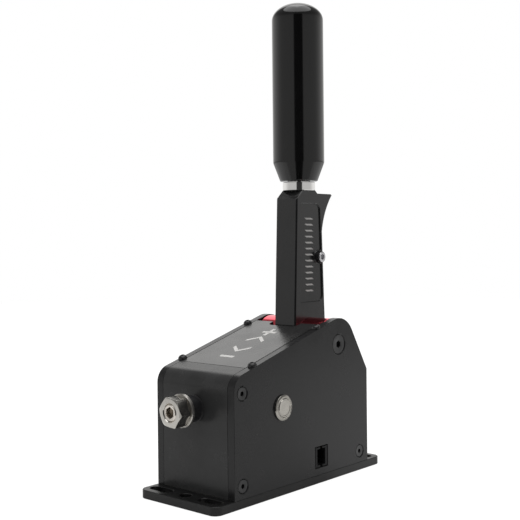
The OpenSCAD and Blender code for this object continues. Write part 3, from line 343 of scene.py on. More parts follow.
@dataclass(frozen=True)
class Finishes:
    """All finishes of the shifter."""

    plate: Finish = Finish(
        "housing_black", (0.011, 0.0111, 0.0116), 0.23, grain=0.22, relief=0.003, wear=0.25,
        worn=(0.035, 0.035, 0.036), ior=1.34, bloom=0.2)
    # Darker copy of the housing finish for the base plate: painted shade for its dim ledge under the cover
    base: Finish = Finish(
        "housing_black", (0.0045, 0.0045, 0.0047), 0.36, grain=0.22, relief=0.003, axis="X", wear=0.25,
        worn=(0.03, 0.03, 0.031), ior=1.38)
    cover: Finish = Finish(
        "cover_black", (0.027, 0.0272, 0.0276), 0.25, grain=0.2, relief=0.003, wear=0.25,
        worn=(0.035, 0.035, 0.036), ior=1.3, bloom=0.6)
    top: Finish = Finish(
        "top_black", (0.02, 0.02, 0.0202), 0.25, texture=Texture.BRUSHED, axis="Y", grain=0.18,
        relief=0.0015, wear=0.25, worn=(0.03, 0.03, 0.03), ior=1.6)
    lever: Finish = Finish(
        "lever_black", (0.009, 0.009, 0.0094), 0.2, grain=0.2, relief=0.002, wear=0.2,
        worn=(0.03, 0.03, 0.031), ior=1.54)
    knob: Finish = Finish(
        "knob_black", (0.0028, 0.0028, 0.003), 0.11, texture=Texture.TURNED, grain=0.3, relief=0.0006,
        spread=0.025)
    collar: Finish = Finish(
        "collar_metal", (0.84, 0.835, 0.825), 0.1, 1.0, Texture.TURNED, 0.3, 0.001, 0.04, 0.04)
    red: Finish = Finish(
        "red_anodised", (0.95, 0.12, 0.16), 0.09, 1.0, Texture.TURNED, 0.2, 0.0005, mottle=0.08, axis="X",
        wear=0.3, worn=(0.8, 0.35, 0.36))
    milled: Finish = Finish(
        "inner_aluminium", (0.55, 0.56, 0.58), 0.38, 1.0, Texture.BRUSHED, 0.3, mottle=0.08, axis="X")
    black_steel: Finish = Finish(
        "black_steel", (0.009, 0.009, 0.010), 0.34, grain=0.15, wear=0.45, worn=(0.12, 0.12, 0.12))
    ground: Finish = Finish(
        "ground_steel", (0.6, 0.6, 0.61), 0.24, 1.0, Texture.TURNED, 0.2, 0.001, mottle=0.06, axis="X")
    polished: Finish = Finish(
        "polished_steel", (0.49, 0.475, 0.445), 0.14, 1.0, Texture.TURNED, 0.35, 0.0008, 0.05, 0.08, axis="Y")
    satin: Finish = Finish(
        "polished_steel", (0.44, 0.425, 0.40), 0.28, 1.0, Texture.GRAIN, 0.3, 0.002, mottle=0.06)
    zinc: Finish = Finish(
        "zinc_steel", (0.62, 0.62, 0.64), 0.28, 1.0, Texture.GRAIN, 0.3, 0.003, mottle=0.1)
    dark_zinc: Finish = Finish(
        "dark_zinc_steel", (0.66, 0.62, 0.57), 0.24, 1.0, Texture.TURNED, 0.3, 0.0015, mottle=0.1, axis="Y")
    spring: Finish = Finish(
        "spring_steel", (0.45, 0.45, 0.47), 0.3, 1.0, Texture.GRAIN, 0.4, mottle=0.12)
    button: Finish = Finish(
        "button_steel", (0.38, 0.365, 0.335), 0.2, 1.0, Texture.TURNED, 0.25, 0.0008, 0.05, 0.05, axis="X")
    bronze: Finish = Finish(
        "bronze", (0.5, 0.33, 0.14), 0.42, 1.0, Texture.GRAIN, 0.2, 0.006)
    brass: Finish = Finish(
        "brass", (0.72, 0.53, 0.22), 0.28, 1.0, Texture.TURNED, 0.3, 0.002, mottle=0.08)
    nylon: Finish = Finish(
        "slide_plastic", (0.7, 0.68, 0.6), 0.5, 0.0, Texture.MOULDED, 0.4, 0.006, mottle=0.06)
    plastic: Finish = Finish(
        "black_plastic", (0.006, 0.006, 0.0065), 0.46, 0.0, Texture.MOULDED, 0.25, 0.008, mottle=0.12,
        ior=1.25)
    board: Finish = Finish(
        "board_green", (0.02, 0.16, 0.07), 0.3, 0.0, Texture.GRAIN, 0.5, 0.006, mottle=0.2)
    rubber: Finish = Finish(
        "stop_rubber", (0.014, 0.014, 0.014), 0.72, 0.0, Texture.MOULDED, 0.3, 0.01)
    lead_red: Finish = Finish(
        "lead_red", (0.4, 0.03, 0.03), 0.45, 0.0, Texture.MOULDED, 0.4, 0.005)
    lead_black: Finish = Finish(
        "lead_black", (0.02, 0.02, 0.022), 0.45, 0.0, Texture.MOULDED, 0.4, 0.005)
    print_grey: Finish = Finish(
        "mark_grey", (0.5, 0.495, 0.485), 0.5, 0.0, Texture.GRAIN, 0.12, 0.003, mottle=0.08)
    print_dim: Finish = Finish(
        "mark_grey", (0.33, 0.325, 0.32), 0.5, 0.0, Texture.MOULDED, 0.12, 0.003, mottle=0.08)


FINISH = Finishes()


def hex_reach(across: float, angle: float) -> float:
    """Distance from a hexagon's middle to its outline, with a corner at angle 0."""
    return across / 2 / math.cos((angle % (math.pi / 3)) - math.pi / 6)


def rounds(profile: Profile) -> list[Ring]:
    """Round rings of a turned piece."""
    return [lambda angle, ring=(radius, height): ring for radius, height in profile]


def hexagon(across: float, height: float) -> Ring:
    """Hexagonal ring."""
    return lambda angle: (hex_reach(across, angle), height)


def hex_socket(across: float, lead: float, heights: Sequence[float]) -> list[Ring]:
    """Rings of a hexagon socket.

    Args:
        across: Width across the flats.
        lead: How much wider its mouth is.
        heights: Heights of its mouth, of the end of its lead, of its floor and of the floor's point.

    Returns:
        The rings, from the mouth to the point.
    """
    mouth, edge, floor, point = heights
    walls = [hexagon(across + lead, mouth), hexagon(across, edge), hexagon(across, floor)]
    return walls + rounds([(0, point)])


def ring_stack(rings: Sequence[Ring], count: int = 48, closed: bool = False) -> MeshData:
    """Skins a stack of rings about the z axis.

    Args:
        rings: Rings from first to last, as radius and height by angle. A first or last ring
            with no radius becomes a single point.
        count: Points in each ring.
        closed: Joins the last ring to the first, for a piece with a bore.

    Returns:
        Points in millimetres, and faces.
    """
    points: list[Point] = []
    rows: list[list[int]] = []
    for ring in rings:
        first, apex = len(points), ring(0.0)
        if apex[0] < 1e-6:
            points.append((0.0, 0.0, apex[1]))
            rows.append([first] * count)
            continue
        for angle in (2 * math.pi * step / count for step in range(count)):
            radius, height = ring(angle)
            points.append((radius * math.cos(angle), radius * math.sin(angle), height))
        rows.append(list(range(first, first + count)))
    faces: list[tuple[int, ...]] = []
    pairs = list(zip(rows, rows[1:])) + ([(rows[-1], rows[0])] if closed else [])
    for low, high in pairs:
        for step in range(count):
            following = (step + 1) % count
            face = (low[step], low[following], high[following], high[step])
            faces.append(tuple(dict.fromkeys(face)))
    return points, faces


def lathe(profile: Profile, count: int = 64, closed: bool = False) -> MeshData:
    """Turns a profile of radius and height about the z axis."""
    return ring_stack(rounds(profile), count, closed)


def bent(start: Vector, control: Vector, end: Vector, steps: int) -> list[Vector]:
    """Points along a curve bent by one control point."""
    shares = (i / steps for i in range(steps + 1))
    return [start * (1 - t) ** 2 + control * 2 * t * (1 - t) + end * t * t for t in shares]


def softened(profile: Profile, radius: float, steps: int = 5) -> list[Flat]:
    """Rounds the inner corners of a profile, and keeps the shading of its straights true.

    Args:
        profile: Points of the profile.
        radius: Length cut from each side of a corner, in millimetres.
        steps: Points that take a corner's place, less one.

    Returns:
        The profile with its corners rounded.
    """
    most, beside = 0.45, 0.1
    out = [tuple(profile[0])]
    for before, corner, after in zip(profile, profile[1:], profile[2:]):
        here = Vector(corner)
        towards, onwards = Vector(before) - here, Vector(after) - here
        cut = min(radius, towards.length * most, onwards.length * most)
        towards.normalize()
        onwards.normalize()
        start, end = here + towards * cut, here + onwards * cut
        out.append(tuple(start + towards * cut * beside))
        out += [tuple(point) for point in bent(start, here, end, steps)]
        out.append(tuple(end + onwards * cut * beside))
    out.append(tuple(profile[-1]))
    return out


def tube(path: Sequence[Vector], radius: float, sides: int = 12) -> MeshData:
    """Sweeps a round wire along a path.

    Args:
        path: Points of the centre line, in millimetres.
        radius: Radius of the wire, in millimetres.
        sides: Points around the wire.

    Returns:
        Points in millimetres, and faces.
    """
    points: list[Point] = []
    faces: list[tuple[int, ...]] = []
    last = len(path) - 1
    normal = Vector((0.31, 0.95, 0.05))
    for i, here in enumerate(path):
        way = (path[min(i + 1, last)] - path[max(i - 1, 0)]).normalized()
        normal = (normal - way * normal.dot(way)).normalized()
        side = way.cross(normal)
        for angle in (2 * math.pi * k / sides for k in range(sides)):
            points.append(tuple(here + radius * (normal * math.cos(angle) + side * math.sin(angle))))
    for i in range(last):
        for k in range(sides):
            a, b = i * sides + k, i * sides + (k + 1) % sides
            faces.append((a, b, b + sides, a + sides))
    faces.append(tuple(range(sides - 1, -1, -1)))
    faces.append(tuple(last * sides + k for k in range(sides)))
    return points, faces


def thread(radius: float, low: float, high: float, pitch: float) -> list[Flat]:
    """Profile of a screw thread.

    Args:
        radius: Outer radius, in millimetres.
        low: Height where the thread starts.
        high: Height where the thread ends.
        pitch: Pitch of the thread, in millimetres.

    Returns:
        Points of the profile, from low to high.
    """
    count = max(1, int((high - low) / pitch))
    step = (high - low) / count
    root = radius - 0.5 * pitch
    ridge = ((root, 0.02), (radius, 0.4), (radius, 0.6), (root, 0.98))
    return [(r, low + step * (i + share)) for i in range(count) for r, share in ridge]


def bar_outline(middle: Flat, width: float, height: float, lean: float = 0.0) -> list[Flat]:
    """Outline of a bar.

    Args:
        middle: Middle of the bar.
        width: Its width.
        height: Its height.
        lean: How far its upper edge is pushed sideways.

    Returns:
        Corners of the bar.
    """
    x, y = middle
    w, h, s = width / 2, height / 2, lean / 2
    return [(x - w - s, y - h), (x + w - s, y - h), (x + w + s, y + h), (x - w + s, y + h)]


def arrow_outline(middle: Flat, size: Flat, stroke: float, way: int) -> list[Flat]:
    """Outline of an arrowhead.

    Args:
        middle: Middle of the arrowhead.
        size: Its width, and its height without the stroke.
        stroke: Height of its stroke.
        way: 1 where it points up, and -1 where it points down.

    Returns:
        Corners of the arrowhead.
    """
    x, y = middle
    w, h, s = size[0] / 2, size[1] / 2, stroke / 2
    corners = [(-w, -h - s), (0, h - s), (w, -h - s), (w, -h + s), (0, h + s), (-w, -h + s)]
    return [(x + a, y + way * b) for a, b in corners[::way]]


def slab(outline: Sequence[Flat]) -> MeshData:
    """Raises an outline into a printed mark.

    Args:
        outline: Corners, in order.

    Returns:
        Points in millimetres, and faces.
    """
    n = len(outline)
    points = [(x, y, z) for z in (0.0, MARK_T) for x, y in outline]
    faces: list[tuple[int, ...]] = [tuple(range(n, 2 * n)), tuple(range(n - 1, -1, -1))]
    faces += [(i, (i + 1) % n, n + (i + 1) % n, n + i) for i in range(n)]
    return points, faces


def flipped(data: MeshData) -> MeshData:
    """Turns the faces of a mesh round."""
    points, faces = data
    return points, [face[::-1] for face in faces]


def make_piece(name: str, parts: Sequence[Placed], finish: Finish, sharp: float) -> bpy.types.Object:
    """Makes one mesh object of several meshes in their places.

    Args:
        name: Name of the piece.
        parts: Each mesh with its matrix, in millimetres.
        finish: Finish of the piece.
        sharp: Least angle of a crisp edge, in degrees.

    Returns:
        The object, in the scene.
    """
    points: list[Point] = []
    faces: list[tuple[int, ...]] = []
    for (local, local_faces), matrix in parts:
        start = len(points)
        points += [tuple(matrix @ Vector(p)) for p in local]
        faces += [tuple(start + i for i in face) for face in local_faces]
    mesh = bpy.data.meshes.new(name)
    mesh.from_pydata([tuple(c * MM for c in p) for p in points], [], faces)
    mesh.validate()
    mesh.polygons.foreach_set("use_smooth", [True] * len(mesh.polygons))
    mesh.set_sharp_from_angle(angle=math.radians(sharp))
    piece = bpy.data.objects.new(name, mesh)
    bpy.context.scene.collection.objects.link(piece)
    mesh.materials.append(finish.material())
    return piece


def mark_piece(piece: bpy.types.Object, finish: Finish, *nodes: str) -> None:
    """Hides the CAD nodes that a piece stands for, and logs the piece's faces.

    Args:
        piece: The piece.
        finish: Finish whose slot the piece takes; not used.
        nodes: CAD nodes that it stands for.
    """
    if nodes:
        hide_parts(*nodes)
    LOG.info("piece %s: %d faces", piece.name, len(piece.data.polygons))


def add_piece(name: str, body: Body, finish: Finish, parts: Sequence[Placed], *nodes: str,
              sharp: float = EDGE_ANGLE) -> None:
    """Makes a piece that rides on a body.

    Args:
        name: Name of the piece.
        body: Body that carries it.
        finish: Its finish.
        parts: Its meshes, each with its matrix in millimetres.
        nodes: CAD nodes that it stands for.
        sharp: Least angle of a crisp edge, in degrees.
    """
    piece = make_piece(name, parts, finish, sharp)
    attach(piece, body.value)
    mark_piece(piece, finish, *nodes)


def dress_node(name: str, finish: Finish, edge: float, segments: int = 2, least: float = EDGE_ANGLE) -> None:
    """Gives a CAD node its finish and breaks its edges.

    Args:
        name: The node.
        finish: Its finish.
        edge: Width of the broken edges, in millimetres.
        segments: Faces across a broken edge.
        least: Least angle of an edge that is broken, in degrees.
    """
    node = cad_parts[name]
    node.data.materials.clear()
    node.data.materials.append(finish.material())
    weld = node.modifiers.new("weld", "WELD")
    weld.merge_threshold = 0.002 * MM
    merge = node.modifiers.new("flat_faces", "DECIMATE")
    merge.decimate_type = "DISSOLVE"
    merge.angle_limit = math.radians(0.6)
    bevel = node.modifiers.new("broken_edges", "BEVEL")
    bevel.width = edge * MM
    bevel.segments = segments
    bevel.limit_method = "ANGLE"
    bevel.angle_limit = math.radians(least)
    bevel.use_clamp_overlap = False
    bevel.miter_outer = "MITER_ARC"
    if segments == CRISP:
        crisp = node.modifiers.new("crisp_edges", "EDGE_SPLIT")
        crisp.split_angle = math.radians(20)
    even = node.modifiers.new("even_shading", "WEIGHTED_NORMAL")
    even.weight = 100
    even.keep_sharp = False
    LOG.info("node %s: %s", name, finish.slot)


def dress_nodes(*rows: tuple) -> None:
    """Gives several CAD nodes their finishes."""
    for row in rows:
        dress_node(*row)


@dataclass
class CountersunkScrew:
    """Countersunk screw with a hexagon socket, its head's face at z = 0. Sizes are in millimetres."""

    thread_d: float
    length: float
    socket: float
    sink: float = 0.05
    gap: float = 0.2
    tip: float = 0.5
    edge: float = 0.15
    land: float = 0.35

    def mesh(self) -> MeshData:
        """Turns the screw.

        Returns:
            The screw's mesh, head up.
        """
        shank, rim, face, foot = self.thread_d / 2, self.thread_d - self.gap, -self.sink, -self.length
        rings = rounds([
            (0, foot), (shank - self.tip, foot), (shank, foot + self.tip), (shank, -shank),
            (rim, face - self.gap), (rim, face - self.edge), (rim - self.edge, face),
            (self.socket * HEX_CORNER + self.land, face)])
        deep = -self.thread_d * 0.45
        heights = (face - 0.12, face - 0.3, deep, deep - self.socket * 0.2)
        return ring_stack(rings + hex_socket(self.socket, 0.1, heights))


@dataclass
class HexNut:
    """Hexagon nut from z = 0 up, with its corners turned down at both ends.

    Attributes:
        across: Width across the flats, in millimetres.
        height: Height, in millimetres.
        bore: Radius of the bore, in millimetres.
        flat: Radius of its flat faces, as a share of the width.
        edge: Width of the bore's broken edges, in millimetres.
        sink: Depth of the lower one, in millimetres.
        corner: Largest radius of the corners, as a share of the width.
    """

    across: float
    height: float
    bore: float
    flat: float
    edge: float
    sink: float
    corner: float = 1.0

    def mesh(self, count: int) -> MeshData:
        """Skins the nut.

        Args:
            count: Points in each ring.

        Returns:
            The nut's mesh.
        """
        face, mouth, t = self.across * self.flat, self.bore + self.edge, self.height

        def low(angle: float) -> Flat:
            reach = min(hex_reach(self.across, angle), self.across * self.corner)
            return reach, (reach - face) * NUT_SLANT

        def high(angle: float) -> Flat:
            reach, rise = low(angle)
            return reach, t - rise

        rings = rounds([(self.bore, t - self.edge), (self.bore, self.sink), (mouth, 0.0), (face, 0.0)])
        return ring_stack(rings + [low, high] + rounds([(face, t), (mouth, t)]), count, closed=True)


@dataclass
class Coil:
    """Compression spring of round wire, with a close turn at each end.

    Attributes:
        mean: Mean diameter, in millimetres.
        wire: Diameter of the wire, in millimetres.
        turns: Number of turns.
        steps: Points in a turn.
        sides: Points around the wire.
        close_gap: Room between the close turns, in millimetres.
    """

    mean: float
    wire: float
    turns: int
    steps: int = 36
    sides: int = 12
    close_gap: float = 0.5

    def path(self, length: float) -> list[Vector]:
        """Centre line along z.

        Args:
            length: Overall length, in millimetres.

        Returns:
            Points of the line.
        """
        close = self.wire + self.close_gap
        pitch = (length - self.wire - 2 * close) / (self.turns - 2)
        path = []
        for i in range(self.turns * self.steps + 1):
            t = i / self.steps
            if t < 1:
                rise = close * t
            elif t < self.turns - 1:
                rise = close + pitch * (t - 1)
            else:
                rise = close + pitch * (self.turns - 2) + close * (t - self.turns + 1)
            angle, r = -2 * math.pi * t, self.mean / 2
            path.append(Vector((r * math.cos(angle), r * math.sin(angle), self.wire / 2 + rise)))
        return path

    def add(self, name: str, node: str, place: Matrix, bodies: tuple[Body, Body], ends: tuple[Point, Point],
            path: Sequence[Vector] | None = None) -> None:
        """Makes a spring piece, set in place between two ends.

        Args:
            name: Name of the piece.
            node: CAD node that it stands for.
            place: Matrix of the centre line, in millimetres.
            bodies: Bodies at its two ends; not used.
            ends: Places of these ends, in millimetres.
            path: Its centre line, where it isn't a whole spring.
        """
        path = path or self.path(math.dist(*ends))
        wire = tube(path, self.wire / 2, self.sides)
        piece = make_piece(name, [(wire, place)], FINISH.spring, WIRE_ANGLE)
        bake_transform(piece)
        mark_piece(piece, FINISH.spring, node)


@dataclass
class Housing:
    """Boxed base: plates, covers, their screws and the pivot's ends. Sizes are in millimetres."""

    half_w: float = 37.0
    front_y: float = -76.0
    front_z: float = 86.3
    pivot: Flat = (40.0, 99.0)
    crown_r: float = 19.5
    side_screws: tuple[Flat, ...] = ((-67.7, 14.6), (-67.7, 75.9), (65.5, 14.6))
    side_screw_x: float = 36.7
    top_screw_x: float = 33.65
    top_screw_y: Flat = (-54.0, 16.6)
    top_screw_head: Flat = (3.3, 2.5)
    base_screws: tuple[Point, ...] = (
        (-10.0, -66.5, 19.7), (-10.0, 66.5, 19.7), (10.0, -66.5, 19.7), (10.0, 66.5, 19.7),
        (-11.3, -0.2, 7.7), (12.7, -0.2, 7.7))
    marks_y: float = -20.0
    sign_y: float = 24.0
    sign: Flat = (13.0, 3.0)
    arrow_y: float = 10.0
    arrow: Flat = (16.0, 7.0)
    arrow_stroke: float = 3.4
    slope: float = field(init=False)

    def __post_init__(self) -> None:
        """Works out the slope of the top from the front corner and the crown."""
        run, rise = self.pivot[0] - self.front_y, self.pivot[1] - self.front_z
        self.slope = math.atan2(rise, run) + math.asin(self.crown_r / math.hypot(run, rise))

    def slope_matrix(self, x: float, y: float) -> Matrix:
        """Matrix of a piece that stands on the sloping top."""
        z = self.front_z + (y - self.front_y) * math.tan(self.slope)
        return Facing.UP.matrix((x, y, z), self.slope)

    def dress(self) -> None:
        """Finishes the plates and covers that the frame holds."""
        dress_nodes(
            ("base_plate", FINISH.base, 0.3, CRISP),
            ("left_side_plate", FINISH.plate, 0.15, CRISP, STEEP_ANGLE),
            ("right_side_plate", FINISH.plate, 0.2, CRISP, STEEP_ANGLE),
            ("front_cover", FINISH.cover, 0.12, CRISP),
            ("rear_cover", FINISH.cover, 0.2, CRISP),
            ("top_plate", FINISH.top, 0.1, CRISP),
            ("front_bulkhead", FINISH.milled, 0.4),
            ("rear_bulkhead", FINISH.milled, 0.4),
            ("pivot_axle", FINISH.ground, 0.4),
            ("thrust_washers", FINISH.nylon, 0.15),
            ("stop_pins", FINISH.ground, 0.3),
            ("stop_sleeves", FINISH.rubber, 0.3))

    def build(self) -> None:
        """Makes the screws and the printed marks."""
        side = CountersunkScrew(5.0, 22.0, 3.0, sink=0.1, gap=0.6).mesh()
        axle = CountersunkScrew(8.0, 24.0, 5.0, sink=0.5, gap=0.9).mesh()
        top = self._top_screw()
        self._screws("side_screws", [
            (side, facing.matrix((way * self.side_screw_x, y, z)))
            for way, facing in SIDES for y, z in self.side_screws])
        self._screws("axle_screws", [
            (axle, facing.matrix((way * self.half_w, *self.pivot))) for way, facing in SIDES])
        self._screws("top_screws", [
            (top, self.slope_matrix(way * self.top_screw_x, y)) for way in (-1, 1) for y in self.top_screw_y])
        self._screws("base_screws", [
            (CountersunkScrew(4.0, length, 2.4).mesh(), Facing.DOWN.matrix((x, y, 0.0)))
            for x, y, length in self.base_screws])
        self._marks()

    @staticmethod
    def _screws(node: str, parts: Sequence[Placed]) -> None:
        """Makes a set of screws."""
        add_piece(f"{node}_finished", Body.HOUSING, FINISH.black_steel, parts, node)

    def _top_screw(self) -> MeshData:
        """Turns a button head screw of the top's edges.

        Returns:
            The screw's mesh, head up.
        """
        (reach, rise), brim, seat, sweep, steps = self.top_screw_head, 0.2, 0.01, 62, 6
        crest = math.sin(math.radians(sweep))
        dome = [(reach * math.cos(a), brim + (rise - brim) * math.sin(a) / crest)
                for a in (math.radians(sweep * i / steps) for i in range(steps + 1))]
        shank = [(0, -10), (1.1, -10), (1.5, -9.6), (1.5, seat), (reach - 0.1, seat)]
        return ring_stack(rounds(shank + dome) + hex_socket(2.4, 0.1, (rise - 0.05, rise - 0.25, 0.8, 0.5)))

    def _marks(self) -> None:
        """Prints a plus, a minus and two arrowheads on the sloping top."""
        shapes = [
            bar_outline((0.0, self.sign_y), *self.sign),
            bar_outline((0.0, self.sign_y), *self.sign[::-1]),
            bar_outline((0.0, -self.sign_y), *self.sign)]
        shapes += [arrow_outline((0.0, way * self.arrow_y), self.arrow, self.arrow_stroke, way)
                   for way in (1, -1)]
        place = self.slope_matrix(0.0, self.marks_y)
        add_piece("top_marks", Body.HOUSING, FINISH.print_grey, [(slab(s), place) for s in shapes])


@dataclass
class Adjuster:
    """Preload adjuster in front, with the springs behind it. Sizes are in millimetres."""

    front_y: float = -99.0
    axis_z: float = 63.5
    nut_af: float = 19.0
    nut_t: float = 10.0
    nut_rest: float = 7.0
    screw_d: float = 12.0
    screw_l: float = 50.0
    screw_rest: float = 30.0
    pitch: float = 1.75
    socket: float = 6.96
    washer_r: float = 11.5
    washer_t: float = 2.5
    bush_r: float = 9.0
    bush_l: float = 10.5
    spigot_r: float = 8.0
    spigot_l: float = 16.5
    seat_end_y: float = -44.0
    front_cup_y: float = 26.95
    rear_cup_y: float = 53.05
    pocket_y: float = 69.5
    coil_d: float = 17.0
    front_wire: float = 2.8
    rear_wire: float = 2.0

    def dress(self) -> None:
        """Finishes the pieces inside the housing."""
        dress_nodes(
            ("spring_seat", FINISH.milled, 0.4),
            ("guide_rod", FINISH.ground, 0.4),
            ("front_cup", FINISH.milled, 0.4),
            ("rear_cup", FINISH.milled, 0.4))

    def build(self) -> None:
        """Makes the turned pieces and the springs."""
        self._nut()
        self._screw()
        self._washer()
        self._bush()
        self._springs()

    def _at(self, y: float) -> Point:
        """Point on the adjuster's axis."""
        return (0.0, y, self.axis_z)

    def _facing(self, y: float, turn: float = 0.0) -> Matrix:
        """Matrix of a piece on the adjuster's axis that points back."""
        return Facing.BACK.matrix(self._at(y)) @ Matrix.Rotation(math.radians(turn), 4, "Z")

    def _nut(self) -> None:
        """Makes the lock nut."""
        nut = HexNut(self.nut_af, self.nut_t, self.screw_d / 2 + PLAY, 0.487, 0.5, 0.6, 0.562)
        parts = [(nut.mesh(144), self._facing(self.front_y, self.nut_rest))]
        add_piece("lock_nut_finished", Body.NUT, FINISH.polished, parts, "lock_nut", sharp=NUT_ANGLE)

    def _screw(self) -> None:
        """Makes the adjuster screw, with its thread and hexagon socket."""
        r, end, edge = self.screw_d / 2, self.screw_l, 0.9
        tip = [(0.0, end), (r - 1.5, end), (r - 0.6, end - 1.2)]
        ridges = thread(r, 1.2, end - 1.4, self.pitch)[::-1]
        face = [(r, edge), (r - edge, 0.0), (self.socket * HEX_CORNER + 0.5, 0.0)]
        rings = rounds(tip + ridges + face) + hex_socket(self.socket, 0.25, (0.15, 0.45, 8.0, 9.2))
        parts = [(flipped(ring_stack(rings, 60)), self._facing(self.front_y, self.screw_rest))]
        add_piece("preload_screw_finished", Body.ADJUSTER, FINISH.dark_zinc, parts, "preload_screw")

    def _washer(self) -> None:
        """Makes the polished lock washer."""
        bore, r, t, inner, outer = self.screw_d / 2 + 0.5, self.washer_r, self.washer_t, 0.2, 0.5
        profile = [(bore, t - inner), (bore, inner), (bore + inner, 0), (r - outer, 0), (r, outer),
                   (r, t - outer), (r - outer, t), (bore + inner, t)]
        parts = [(lathe(profile, 96, closed=True), self._facing(self.front_y + self.nut_t))]
        add_piece("lock_washer_finished", Body.HOUSING, FINISH.satin, parts, "lock_washer")

    def _bush(self) -> None:
        """Makes the bush that stands out of the front cover."""
        bore, r, neck = self.screw_d / 2 + PLAY, self.bush_r, self.spigot_r
        foot, length, edge, rim, groove = self.bush_l, self.bush_l + self.spigot_l, 0.4, 0.7, 0.5
        profile = [(bore, length - edge), (bore, edge), (bore + edge, 0), (r - rim, 0), (r, rim),
                   (r, foot - 1.6), (r - groove, foot - 1.4), (r - groove, foot - 0.6), (r, foot - 0.4),
                   (r, foot), (neck, foot), (neck, length - edge), (neck - edge, length),
                   (bore + edge, length)]
        parts = [(lathe(profile, 96, closed=True), self._facing(self.front_y + self.nut_t + self.washer_t))]
        add_piece("adjuster_bush_finished", Body.HOUSING, FINISH.black_steel, parts, "adjuster_bush")

    def _springs(self) -> None:
        """Makes the two centring springs, the front one in two halves."""
        start, end = self.seat_end_y + PLAY, self.front_cup_y - PLAY
        coil = Coil(self.coil_d, self.front_wire, 9)
        path = coil.path(end - start)
        half, middle = len(path) // 2, self._at(start + (end - start) / 2)
        for name, body, y, part in (("front_spring_fore", Body.SEAT, start, path[:half + 1]),
                                    ("front_spring_aft", Body.FRONT_FOLLOWER, end, path[half:])):
            ends = (middle, self._at(y))
            coil.add(name, "front_spring", self._facing(start), (Body.HOUSING, body), ends, part)
        start, end = self.rear_cup_y + PLAY, self.pocket_y - PLAY
        Coil(self.coil_d, self.rear_wire, 4).add(
            "rear_spring_finished", "rear_spring", self._facing(start),
            (Body.HOUSING, Body.REAR_FOLLOWER), (self._at(end), self._at(start)))


